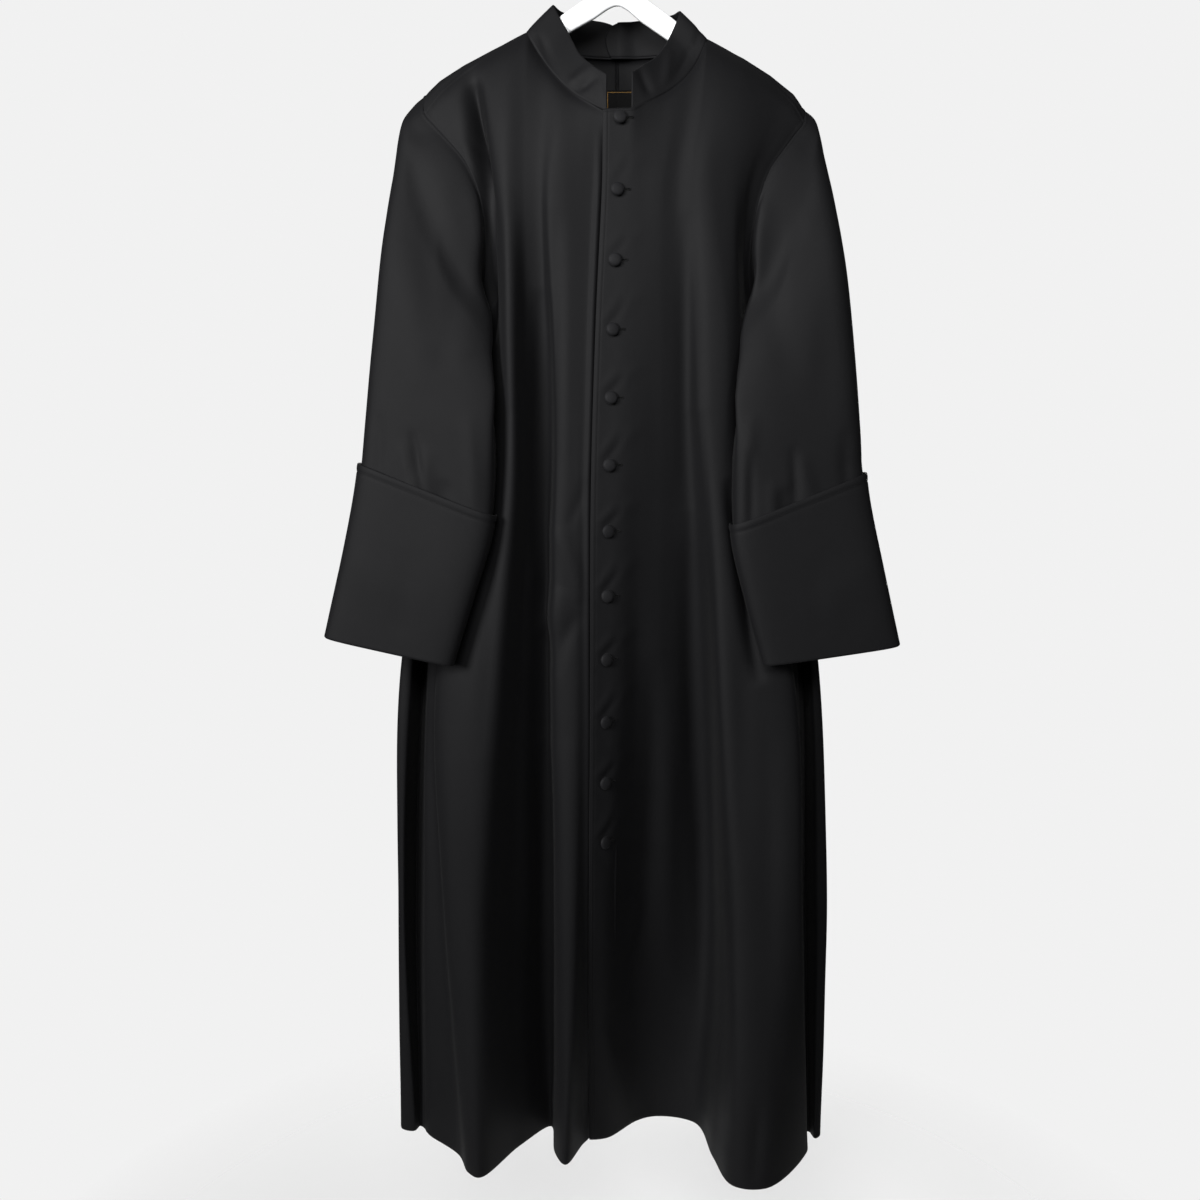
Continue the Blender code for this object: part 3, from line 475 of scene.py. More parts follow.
SECTION_POINTS = 600  # close points along half a section, before they are spaced evenly


def sleeve_rings(side, columns):
    """Closed rings down the sleeve: the armhole, the roll round it, then flattened sections.

    A section is centre + cos' x half width + sin' x half depth, where cos' and sin' are the
    cosine and sine to the power SLEEVE_SQUARE with their signs kept. The outer ends of the first
    sections, on the shoulder, are rounder than that. The points are then spaced evenly along the
    front and the back, so that the flat front has as many as the round ends.
    """
    half = columns // 2
    front = even_lengths(fine_line(table_points(ARMHOLE_FRONT[side])), half + 1)
    back = even_lengths(fine_line(table_points(ARMHOLE_BACK[side])), half + 1)
    armhole = np.concatenate([front, back[-2:0:-1]])
    turn = np.linspace(0, 2 * np.pi, columns, endpoint=False)
    outward = np.sign(armhole[0, 0])
    cos, sin, head = np.cos(turn), np.sin(turn), SLEEVE_HEAD
    swell = {name: far * bump(turn, *place) for name, (far, *place) in HEAD_SWELLS.items()}
    across = head["out"] * np.maximum(cos, 0) + head["out_each_side"] * np.abs(sin)
    across += swell["out_behind"] + swell["out_below"]
    forward = np.where(sin > 0, head["forward"] * sin, -swell["back"]) + swell["forward_below"]
    down = head["down"] * np.maximum(-cos, 0) ** 2 + head["down_on_top"] * np.maximum(cos, 0)
    rings = [armhole, armhole + np.column_stack([outward * across, -forward, -down])]
    table = SLEEVE[side]
    for index, depth in enumerate(table["half_depth"]):
        rounder = (1 - SLEEVE_SQUARE) * max(0, 1 - index / 2)
        inner = np.array([table[key][index] for key in ("x_in", "y_in", "z_in")], float)
        outer = np.array([table[key][index] for key in ("x_out", "y_out", "z_out")], float)
        halves = []
        for way, reach in ((1, depth), (-1, depth * SLEEVE_BACK_DEPTH)):
            close = way * np.linspace(0, np.pi, SECTION_POINTS)
            square = SLEEVE_SQUARE + rounder * (np.cos(close) > 0)
            wide, deep = (np.sign(c) * np.abs(c) ** square for c in (np.cos(close), np.sin(close)))
            line = (inner + outer) / 2 + wide[:, None] * (outer - inner) / 2
            line[:, 1] -= deep * reach
            line[:, 0] -= outward * table["fold_in"][index] * bump(close, *FOLD_IN_AT)
            line[:, 0] += outward * table["clear_back"][index] * bump(close, *CLEAR_BACK_AT)
            halves.append(even_lengths(line, half + 1))
        rings.append(np.concatenate([halves[0], halves[1][-2:0:-1]]))
    return np.array(rings)


def outward_normals(grid, closed, away_from):
    """The direction out of the cloth at every point, and whether the grid runs the other way.

    It is the cross product of the steps across and down, turned so that it mostly points away
    from the middle of the garment or of the tube.
    """
    down = np.gradient(grid, axis=0)
    if closed:
        across = np.roll(grid, -1, axis=1) - np.roll(grid, 1, axis=1)
    else:
        across = np.gradient(grid, axis=1)
    normal = np.cross(across, down)
    normal /= np.maximum(np.linalg.norm(normal, axis=2), 1e-9)[:, :, None]
    turned = bool(((grid - away_from) * normal).sum() < 0)
    return (-normal if turned else normal), turned


def ring_middles(grid):
    """The middle of each ring of a tube."""
    return grid.mean(axis=1)[:, None, :]


CUFF_ROWS, CUFF_FOLD_STEPS = 60, 9


def cuff_grid(rings):
    """The turned-back cuff: down inside from the sleeve's end, round a fold, and up outside."""
    outside = spline(rings, np.linspace(CUFF_TOP_STATION, len(rings) - 1, CUFF_ROWS))
    outward, _ = outward_normals(outside, True, ring_middles(outside))
    down = unit(outside[-1] - outside[-2])
    rows = [outside[-1] + down * share * CUFF_LENGTH_BEYOND for share in (0.05, 0.3, 0.55, 0.85)]
    radius = CUFF_STAND_OFF / 2
    for turn in np.radians(np.linspace(0, 180, CUFF_FOLD_STEPS)):
        along = CUFF_LENGTH_BEYOND + radius * math.sin(turn)
        rows.append(outside[-1] + down * along + outward[-1] * radius * (1 - math.cos(turn)))
    stand_off = CUFF_STAND_OFF + CUFF_FLARE * np.linspace(1, 0, len(outside))
    beyond = np.linspace(0.8, 0.2, 3)[:, None, None] * down * CUFF_LENGTH_BEYOND
    rows.extend(outside[-1] + beyond + outward[-1] * CUFF_STAND_OFF)
    rows.extend((outside + outward * stand_off[:, None, None])[::-1])
    return np.array(rows)


SLEEVE_COLUMNS = 112
SLEEVE_ROWS = divide(0, (2, 14), *((n, 14) for n in range(3, 10)))
rings = {side: sleeve_rings(side, SLEEVE_COLUMNS) for side in ("right", "left")}
sleeves = {"sleeve_" + side: spline(rings[side], SLEEVE_ROWS) for side in rings}
cuffs = {"cuff_" + side: cuff_grid(rings[side]) for side in rings}
for name, grid in {**sleeves, **cuffs}.items():
    print(name, grid.shape[:2], "x", grid[..., 0].min().round(), grid[..., 0].max().round())


# %% [markdown]
# ## The standing collar
#
# The collar is a band about 45 mm high in two halves. Its lower edge is the neckline, and it
# leans in towards the neck. At the back, the left half laps over the right one.


# %% One half of the collar
def collar_half(side, columns, heights):
    """The neckline plus a share of the lean at every height, from the front end to the back.

    The rise is the height's share to the power COLLAR_RISE_POWER, so the band stands upright.
    """
    base = table_points(NECKLINE[side])
    inward = -np.sign(base[:, 0]) * COLLAR_TOP["in"]
    lean = np.column_stack([inward, COLLAR_TOP["back"], COLLAR_TOP["up"]])
    stations = np.linspace(0, len(base) - 1, columns)
    low, rise = spline(base, stations), spline(lean, stations)
    if side == "right":
        rise[:, 2] -= COLLAR_NOTCH * (1 - fade_in(len(base) - 1 - stations, 0.8)) ** 2
    shares = [(height, height, height**COLLAR_RISE_POWER) for height in heights]
    grid = np.array([low + rise * share for share in shares])
    if side == "left":
        share = np.linspace(0.1, 1, COLLAR_LAP_COLUMNS)
        reach = np.interp(heights, COLLAR_LAP_HEIGHTS, COLLAR_LAP)
        lapped = grid[:, -1:] - (reach[:, None] * share)[:, :, None] * (1, 0.04, 0)
        grid = np.concatenate([grid, lapped], axis=1)
        step = fade_in(np.arange(grid.shape[1]) - (columns - COLLAR_STEP_COLUMNS), 10)
        grid[:, :, 1] -= step * step * (3 - 2 * step) * COLLAR_LAP_STEP
    return grid


COLLAR_COLUMNS = 150
collars = {"collar_" + s: collar_half(s, COLLAR_COLUMNS, np.linspace(0, 1, 22)) for s in rings}
print("collar", {name: grid.shape[:2] for name, grid in collars.items()})

# %% [markdown]
# ## Creases that the big folds don't have
#
# Between the big folds, cloth has smaller creases: short pulls beside each button, bends above a
# cuff, and a slow unevenness everywhere. Each crease is given as a line with a width and a height.
# It raises or sinks the cloth along its own normal, so a crease follows a fold round.


# %% Relief added to a grid
def crease(grid, start, end, width, height, bend=0.0):
    """Height over the cloth of one soft crease from start to end, each an (x, z) place.

    It is height x exp(-(distance / width)^2) across the line and sin(pi t)^0.7 along it, where t
    runs from 0 to 1. bend shifts the middle of the line sideways by that much.
    """
    a, b = np.array(start, float), np.array(end, float)
    length, way = np.linalg.norm(b - a), unit(b - a)
    place = grid[..., (0, 2)] - a
    t = np.clip((place @ way) / length, 0, 1)
    sideways = place @ np.array((-way[1], way[0])) - bend * 4 * t * (1 - t)
    beyond = place @ way - t * length
    return height * heap(np.hypot(sideways, beyond), width) * np.sin(np.pi * t) ** 0.7


def creases(grid, table):
    """The sum of all creases in a table."""
    return sum((crease(grid, *row) for row in table), np.zeros(grid.shape[:2]))


WAVES, WAVE_ACROSS, WAVE_DOWN, WAVE_LEAN = 8, (45, 120), (160, 480), (-0.25, 0.25)


def unevenness(grid, height, seed):
    """A slow wander of the cloth: a sum of waves, longer down the cloth than across it."""
    random = np.random.default_rng(seed)
    x, z = grid[..., 0], grid[..., 2]
    total = np.zeros(grid.shape[:2])
    for _ in range(WAVES):
        across, down = random.uniform(*WAVE_ACROSS), random.uniform(*WAVE_DOWN)
        phase, share = random.uniform(0, 2 * np.pi), random.uniform(0.4, 1)
        lean = random.uniform(*WAVE_LEAN)
        total += share * np.sin(2 * np.pi * ((x + lean * z) / across + z / down) + phase)
    return height * total / WAVES


def run_down(grid):
    """How far each point is from the grid's first row, measured along the cloth."""
    step = np.linalg.norm(np.diff(grid, axis=0), axis=2)
    return np.concatenate([np.zeros((1, grid.shape[1])), np.cumsum(step, axis=0)], axis=0)


def run_across(grid):
    """How far each point is from the grid's first column, measured along the cloth."""
    return run_down(grid.swapaxes(0, 1)).T


def seam_roll(distance, depth=0.35, width=2.5):
    """Cloth dips a little beside a seam: -depth x (d / width) x exp(1 - d / width)."""
    share = np.abs(distance) / width
    return -depth * share * np.exp(1 - share)


ALLOWANCE = (0.6, 1.4, 2.4)  # how deep the rows of a seam allowance lie under the cloth
PRESSED = 0.4  # the centre back's allowances are pressed flat: their depths as shares of these


def turned_in(grid, away_from, side, start, closed):
    """The grid with its seam allowances: extra rows or columns that turn straight in at an edge.

    Each extra point is the edge's own point less its normal times a depth, so two pieces that
    share a seam line press against each other under it, and no gap shows between them. The top
    always has them; the last column does if side is set, and the first if start is.
    """
    normal, _ = outward_normals(grid, closed, away_from)
    depths = np.array(ALLOWANCE)
    if side:
        extra = grid[:, -1:] - normal[:, -1:] * depths[None, :, None]
        grid = np.concatenate([grid, extra], axis=1)
        normal = np.concatenate([normal, np.repeat(normal[:, -1:], len(depths), axis=1)], axis=1)
    if start:
        extra = grid[:, :1] - normal[:, :1] * depths[None, ::-1, None] * PRESSED
        grid = np.concatenate([extra, grid], axis=1)
        normal = np.concatenate([np.repeat(normal[:, :1], len(depths), axis=1), normal], axis=1)
    extra = grid[:1] - normal[:1] * depths[::-1, None, None]
    return np.concatenate([extra, grid], axis=0)


BODY_MIDDLE_Y = 12.0
COLLAR_INSIDE = (0.0, 0.0, -150.0)


def is_tube(name):
    """Whether a piece goes all round, so that its last column joins its first."""
    return name.startswith(("sleeve", "cuff"))


def inside_of(name, grid):
    """Places on the inner side of a piece, which its outer face looks away from."""
    if is_tube(name):
        return ring_middles(grid)
    return COLLAR_INSIDE if name.startswith("collar") else grid * (0, 0, 1) + (0, BODY_MIDDLE_Y, 0)


print("a crease's middle:", crease(np.zeros((1, 1, 3)), (0, 40), (0, -40), 10, 3).round(2))

# %% The creases of each piece
# start x z, end x z, width, height (negative sinks), bend
CREASES = {}
CREASES["front_right"] = [
    ((-181, -120), (-150, -370), 11, -11.0, 2),
    ((-168, -180), (-151, -490), 8, -19.0, 2),
    ((-73, -330), (-76, -700), 11, -5.0, 0),
    ((-94, -420), (-104, -760), 12, -8.0, 3),
    ((-60, -250), (-66, -620), 13, 1.5, 2),
    ((-123, -330), (-128, -560), 10, 3.0, 0),
    ((-152, -690), (-168, -980), 9, -2.5, 4),
    ((-70, -770), (-100, -840), 13, 3.0, 6),
    ((-46, -800), (-78, -880), 9, -2.4, -4),
    ((-74, -700), (-44, -790), 10, 2.2, 5),
    ((-118, -860), (-112, -1250), 10, 2.2, -3),
    ((-64, -960), (-70, -1400), 14, 3.0, 2),
    ((-92, -980), (-96, -1480), 13, -8.0, 0),
    ((-206, -940), (-214, -1300), 12, 2.0, 3),
    ((-38, -640), (-60, -700), 7, -1.2, 2),
]
CREASES["front_left"] = [
    ((94, -560), (130, -1500), 13, -11.0, 0),
    ((134, -640), (174, -890), 9, -12.0, 0),
    ((80, -330), (84, -680), 10, -4.5, 0),
    ((100, -240), (108, -640), 14, 2.0, 2),
    ((84, -720), (100, -1100), 12, -3.5, 4),
    ((46, -860), (30, -1300), 15, -5.0, 6),
    ((70, -900), (78, -1350), 14, 2.2, -4),
    ((150, -760), (158, -1120), 13, -2.0, 0),
    ((128, -1180), (140, -1490), 10, -2.4, 4),
    ((206, -960), (214, -1420), 14, 2.0, -3),
    ((180, -1410), (172, -1530), 8, -3.0, 0),
    ((24, -1180), (8, -1270), 12, 2.6, 6),
    ((-6, -1330), (16, -1420), 11, -2.0, -5),
]
# A pull runs up and outwards from each button, stronger lower down, where the front hangs heavier.
for number, (x, z) in enumerate(BUTTON_PLACES):
    pull = 0.5 + 1.5 * min(1, number / 7)
    lean = 1 if number % 2 else 0.8
    CREASES["front_left"] += [
        ((x - 8, z + 2), (x + 16, z + 34 * lean), 4, -0.7 * pull, -2),
        ((x - 14, z + 8), (x + 10, z + 44 * lean), 5, 0.5 * pull, -2),
        ((x + 6, z + 10), (x + 40, z + 48 * lean), 8, 0.4 * pull, 3),
        ((x - 14, z - 10), (x + 6, z - 34), 6, -0.35 * pull, 2),
    ]
CREASES["back_right"] = [
    ((-96, -280), (-104, -640), 14, 3.0, 2),
    ((-60, -300), (-66, -700), 13, -3.0, 0),
    ((-130, -700), (-146, -1240), 15, -3.5, 4),
    ((-66, -840), (-80, -1430), 15, -4.0, -3),
    ((-30, -760), (-38, -1300), 12, 2.5, 2),
    ((-204, -820), (-212, -1300), 14, -2.5, 4),
    ((-150, -240), (-120, -330), 12, 1.6, 5),
]
CREASES["back_left"] = [
    ((92, -290), (100, -660), 14, 2.8, -2),
    ((58, -310), (62, -720), 13, -2.8, 0),
    ((126, -720), (138, -1260), 15, -3.2, -4),
    ((60, -860), (72, -1420), 15, -3.8, 3),
    ((26, -780), (30, -1320), 12, 2.4, -2),
    ((196, -830), (204, -1320), 14, -2.4, -4),
    ((146, -250), (118, -340), 12, 1.6, -5),
]
CREASES["sleeve_right"] = [
    ((-214, -236), (-160, -496), 32, 6.0, 0),
    ((-250, -220), (-206, -476), 26, -4.2, 0),
    ((-244, -582), (-230, -668), 5, -3.2, 2),
    ((-257, -596), (-246, -668), 7, 1.8, 2),
    ((-176, -300), (-208, -520), 16, -1.8, 6),
    ((-204, -640), (-236, -718), 12, -3.2, 5),
    ((-222, -600), (-256, -690), 11, 2.2, 4),
    ((-282, -560), (-288, -664), 8, -2.0, 2),
    ((-176, -560), (-170, -690), 9, 2.0, 2),
    ((-240, -360), (-226, -540), 18, 1.6, -4),
    ((-252, -250), (-236, -330), 12, -1.4, 4),
]
CREASES["sleeve_left"] = [
    ((244, -262), (284, -620), 22, 6.0, 0),
    ((155, -604), (158, -716), 6, -3.0, 0),
    ((206, -600), (212, -692), 6, -2.6, 1),
    ((182, -640), (186, -712), 8, 2.0, -1),
    ((172, -310), (198, -520), 16, -1.8, -6),
    ((196, -650), (224, -726), 12, -3.0, -5),
    ((214, -610), (246, -700), 11, 2.2, -4),
    ((270, -580), (276, -676), 8, -2.0, -2),
    ((158, -560), (150, -700), 9, 2.4, -3),
    ((232, -370), (216, -550), 18, 1.6, 4),
    ((238, -262), (226, -340), 12, -1.4, -4),
]
CREASES["cuff_right"] = [
    ((-330, -740), (-230, -800), 24, 0.9, 6),
    ((-250, -720), (-262, -840), 16, -0.8, 3),
]
CREASES["cuff_left"] = [
    ((318, -750), (220, -806), 24, 0.9, -6),
    ((236, -730), (246, -846), 16, -0.8, -3),
]
CREASES["collar_right"] = [
    ((-58, -208), (-24, -182), 5, -2.2, 1),
    ((-68, -202), (-28, -168), 6, 2.0, 2),
    ((-94, -126), (-76, -182), 7, -2.4, 1),
    ((-104, -118), (-90, -168), 6, 1.2, 1),
    ((-22, -184), (-16, -212), 4, 0.8, 0),
]
CREASES["collar_left"] = [
    ((22, -168), (42, -212), 6, -2.4, -1),
    ((60, -146), (52, -192), 6, 1.6, 1),
    ((88, -138), (66, -188), 6, -2.2, -1),
    ((98, -112), (90, -152), 5, -1.2, -1),
]
print("creases:", {name: len(table) for name, table in CREASES.items()})

# %% Put the relief on the grids
# Lines that are raised or sunk: how far from the edge, how high or deep, and how wide.
STITCH_INSET, STITCH_DEPTH, STITCH_WIDTH = 5.0, 0.35, 1.3
CUFF_STITCH_INSET, CUFF_STITCH_DEPTH, CUFF_STITCH_WIDTH = 8.5, 0.6, 1.6
CUFF_ROLL_INSET, CUFF_ROLL_HEIGHT, CUFF_ROLL_WIDTH = 4.2, 0.5, 3.0
LAP_SWELL_INSET, LAP_SWELL_HEIGHT, LAP_SWELL_WIDTH = 5, 3.2, 4
LAP_DIVE_BEYOND, LAP_DIVE_DEPTH, LAP_DIVE_WIDTH = 1, 3.4, 2.6
EDGE_ROLL_DEPTH, EDGE_ROLL_WIDTH = 1.1, 2.4
SHOULDER_STEP, SHOULDER_STEP_WIDTH = 1.2, 3
SHOULDER_STEP_FROM, SHOULDER_STEP_WHOLE = 60, 40  # from the centre back, and over how far
SHOULDER_ROLL, SIDE_ROLL, HEAD_ROLL = (0.8, 2.2), 0.7, 0.7  # the dips beside these seams
# How far from an edge the relief is whole.
TOP_FADE, SIDE_FADE, HEAD_FADE, WRIST_FADE, CUFF_FADE, COLLAR_FADE = 30, 16, 50, 60, 30, 12
# A cuff's relief starts this many rows in, past its inside and its fold, and is whole after more.
CUFF_INSIDE_ROWS, CUFF_FOLD_ROWS = 18, 6


def lap_hollow(grid):
    """How the lower front lies beside the upper one's edge: it swells, and dives under the edge.

    Both are heaps across the cloth, one on each side of the upper front's edge. They come in
    below the collar and weaken at the hem.
    """
    edge = [place[0] for place in FOLDS["front_left"]["edge"]]
    beyond = grid[..., 0] - np.interp(-grid[..., 2], -np.array(LEVELS), edge)
    shape = LAP_SWELL_HEIGHT * heap(beyond + LAP_SWELL_INSET, LAP_SWELL_WIDTH)
    shape -= LAP_DIVE_DEPTH * heap(beyond - LAP_DIVE_BEYOND, LAP_DIVE_WIDTH)
    return shape * np.interp(-grid[..., 2], (235, 330, 1400, 1520), (0, 1, 1, 0.3))


def edge_roll(grid):
    """How the upper front's folded edge is rolled down towards the lower front."""
    return -EDGE_ROLL_DEPTH * heap(run_across(grid), EDGE_ROLL_WIDTH)


def panel_relief(grid, relief):
    """The relief, faded out towards the top and the side seam, where the cloth dips."""
    down, across = run_down(grid), run_across(grid)
    from_side = across[:, -1:] - across
    relief = relief * (fade_in(down, TOP_FADE) * fade_in(from_side, SIDE_FADE))
    return relief + (seam_roll(down, *SHOULDER_ROLL) + seam_roll(from_side, SIDE_ROLL))


def front_relief(grid, relief):
    """A front's: a row of stitches pulls it down along its edge."""
    stitched = heap(run_across(grid) - STITCH_INSET, STITCH_WIDTH)
    return panel_relief(grid, relief) - STITCH_DEPTH * stitched


def back_relief(grid, relief):
    """A back's: it dips at the centre, and lies a little below the front at the shoulder."""
    across = run_across(grid)
    step = heap(run_down(grid), SHOULDER_STEP_WIDTH)
    step *= fade_in(across - SHOULDER_STEP_FROM, SHOULDER_STEP_WHOLE)
    return panel_relief(grid, relief) + seam_roll(across) - SHOULDER_STEP * step


def sleeve_relief(grid, relief):
    """A sleeve's: faded out at both ends, and turned in at the armhole."""
    down = run_down(grid)
    relief = relief * fade_in(down, HEAD_FADE) * fade_in(down[-1:] - down, WRIST_FADE)
    return relief + seam_roll(down, HEAD_ROLL)


def cuff_relief(grid, relief):
    """A cuff's: the edge above its stitched line is puffed into a small roll."""
    below_top = run_down(grid)[-1:] - run_down(grid)
    outer = fade_in(np.arange(len(grid)) - CUFF_INSIDE_ROWS, CUFF_FOLD_ROWS)[:, None]
    relief = relief * fade_in(below_top, CUFF_FADE)
    relief += CUFF_ROLL_HEIGHT * heap(below_top - CUFF_ROLL_INSET, CUFF_ROLL_WIDTH)
    relief -= CUFF_STITCH_DEPTH * heap(below_top - CUFF_STITCH_INSET, CUFF_STITCH_WIDTH)
    return relief * outer


def collar_relief(grid, relief):
    """A collar half's: turned in where it joins the neckline."""
    down = run_down(grid)
    return relief * fade_in(down, COLLAR_FADE) + seam_roll(down)


DRESSING = {  # for each kind: how it is done, the height of its unevenness, and its first seed
    "front": (front_relief, 0.9, 11),
    "back": (back_relief, 0.9, 13),
    "sleeve": (sleeve_relief, 0.8, 21),
    "cuff": (cuff_relief, 0.5, 31),
    "collar": (collar_relief, 0.35, 41),
}
AT_THE_LAP = {"front_right": lap_hollow, "front_left": edge_roll}
dressed = {}
for name, grid in {**panels, **sleeves, **cuffs, **collars}.items():
    kind, side = name.split("_")
    dress, height, seed = DRESSING[kind]
    relief = creases(grid, CREASES[name]) + unevenness(grid, height, seed + (side == "left"))
    relief = dress(grid, relief)
    if name in AT_THE_LAP:
        relief += AT_THE_LAP[name](grid)
    normal, _ = outward_normals(grid, is_tube(name), inside_of(name, grid))
    dressed[name] = grid + normal * relief[..., None]
    print(f"{name}: relief from {relief.min():.1f} to {relief.max():.1f} mm")

# %% [markdown]
# ## From a surface to cloth with a thickness
#
# Cloth has two faces and a rounded edge. Blender's Solidify modifier could give the wall, but its
# rim is flat. Here both faces are offset from the middle surface, and half a turn of small steps
# joins them round every edge, so that a folded edge catches the light as a real one does.

# %% Build a mesh from arrays
WALL = 1.6
COLLAR_WALL = 2.6
RIM_STEPS = 5  # loops round the rim between the two faces


def put_mesh(name, points, faces, uv=None):
    """A new object from points in millimetres, quads, and a pair of lengths for each corner."""
    mesh = bpy.data.meshes.new(name)
    mesh.from_pydata(np.asarray(points, float) * MM, [], np.asarray(faces, int))
    if uv is not None:
        layer = mesh.uv_layers.new(name="cloth")
        layer.data.foreach_set("uv", np.asarray(uv, np.float32).ravel() * MM)
    mesh.polygons.foreach_set("use_smooth", np.ones(len(mesh.polygons), bool))
    mesh.update()
    made = bpy.data.objects.new(name, mesh)
    bpy.context.scene.collection.objects.link(made)
    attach(made, "root")
    return made


def weld(piece):
    """Merges the points of a piece that lie on each other, as at the pole of a dome."""
    mesh = bmesh.new()
    mesh.from_mesh(piece.data)
    bmesh.ops.remove_doubles(mesh, verts=mesh.verts, dist=1e-6)
    bmesh.ops.dissolve_degenerate(mesh, edges=mesh.edges, dist=1e-7)
    mesh.to_mesh(piece.data)
    mesh.free()
    return piece


def grid_faces(rows, columns, closed):
    """The corners of every cell of a grid, as rows and columns; the last column may wrap."""
    wide = columns if closed else columns - 1
    r, c = np.meshgrid(np.arange(rows - 1), np.arange(wide), indexing="ij")
    r, c = r.ravel(), c.ravel()
    return np.stack([r, r, r + 1, r + 1], 1), np.stack([c, c + 1, c + 1, c], 1)


def ring_faces(rows, sides):
    """The faces of a tube made of rings, as places in its flat list of points."""
    r, c = grid_faces(rows, sides, True)
    return r * sides + c % sides


def circles(across, up, sides):
    """Unit circles of points, across x cos a + up x sin a, one for each pair of directions."""
    turn = np.linspace(0, 2 * np.pi, sides, endpoint=False)[:, None]
    across, up = (np.asarray(way)[..., None, :] for way in (across, up))
    return np.cos(turn) * across + np.sin(turn) * up


def rim_paths(rows, columns, closed):
    """The edges of a grid as closed paths of (row, column), each in the faces' own direction."""
    if closed:
        c = np.arange(columns)
        return [(np.zeros(columns, int), c), (np.full(columns, rows - 1), c[::-1])]
    r, c = np.arange(rows), np.arange(columns)
    last_r, last_c = np.full(columns - 1, rows - 1), np.full(rows - 1, columns - 1)
    path_r = np.concatenate([np.zeros(columns - 1, int), r[:-1], last_r, r[:0:-1]])
    path_c = np.concatenate([c[:-1], last_c, c[:0:-1], np.zeros(rows - 1, int)])
    return [(path_r, path_c)]


def edge_directions(grid, closed):
    """At every point of the edges, the direction out of the cloth in its own surface."""
    out = np.zeros_like(grid)
    out[0] += grid[0] - grid[1]
    out[-1] += grid[-1] - grid[-2]
    if not closed:
        out[:, 0] += grid[:, 0] - grid[:, 1]
        out[:, -1] += grid[:, -1] - grid[:, -2]
    return out / np.maximum(np.linalg.norm(out, axis=2), 1e-9)[..., None]


def cloth_solid(name, grid, wall, away_from, closed=False):
    """A closed sheet of cloth round a middle surface.

    The faces are grid +- normal x wall / 2. Each rim point is
    grid + (normal cos a + edge direction sin a) x wall / 2, with a from 0 to half a turn.
    """
    rows, columns = grid.shape[:2]
    normal, turned = outward_normals(grid, closed, away_from)
    half = wall / 2
    along = run_across(np.concatenate([grid, grid[:, :1]], axis=1) if closed else grid)
    width = along.shape[1]
    lengths = np.stack([along, np.broadcast_to(run_down(grid)[:, :1], along.shape)], axis=2)
    points = [(grid + normal * half).reshape(-1, 3), (grid - normal * half).reshape(-1, 3)]
    r, c = grid_faces(rows, columns, closed)
    outer = r * columns + c % columns
    corner_uv = lengths.reshape(-1, 2)[r * width + c]
    faces = [outer, outer[:, ::-1] + rows * columns]
    uvs = [corner_uv, corner_uv[:, ::-1]]
    out = edge_directions(grid, closed)
    count = 2 * rows * columns
    for path_r, path_c in rim_paths(rows, columns, closed):
        n = len(path_r)
        flat = path_r * columns + path_c
        loops = [flat]
        for angle in np.linspace(0, math.pi, RIM_STEPS + 2)[1:-1]:
            ring = normal[path_r, path_c] * math.cos(angle) + out[path_r, path_c] * math.sin(angle)
            points.append(grid[path_r, path_c] + ring * half)
            loops.append(count + np.arange(n))
            count += n
        loops.append(flat + rows * columns)
        here, after = np.arange(n), (np.arange(n) + 1) % n
        path_uv = lengths[path_r, path_c]
        for low, high in zip(loops, loops[1:]):
            faces.append(np.stack([low[after], low[here], high[here], high[after]], 1))
            uvs.append(np.stack([path_uv[after], path_uv[here], path_uv[here], path_uv[after]], 1))
    faces, uvs = np.concatenate(faces), np.concatenate(uvs)
    if turned:
        faces, uvs = faces[:, ::-1], uvs[:, ::-1]
    return put_mesh(name, np.concatenate(points), faces, uvs)


# %% The cloth pieces
def wall_of(name):
    """The thickness of a piece."""
    return COLLAR_WALL if name.startswith("collar") else WALL


cloth = {}
for name, grid in dressed.items():
    tube = is_tube(name)
    if not name.startswith("cuff"):
        body, back = name.startswith(("front", "back")), name.startswith("back")
        grid = turned_in(grid, inside_of(name, grid), side=body, start=back, closed=tube)
    cloth[name] = cloth_solid(name + "_cloth", grid, wall_of(name), inside_of(name, grid), tube)
    print(name, len(cloth[name].data.polygons), "faces")

# %% [markdown]
# ## Stitches
#
# A row of stitches holds the front's folded edge and the top of each cuff. Paint or bump would
# make a flat dotted line. Each stitch here is its own short thread that dives into the cloth at
# both ends, and one array holds all of them.


# %% Rows of thread
STITCH_PITCH, STITCH_LENGTH = 3.0, 2.3
THREAD_RADIUS, STITCH_LIFT = 0.24, 0.15
THREAD_RINGS, THREAD_SIDES = 6, 6


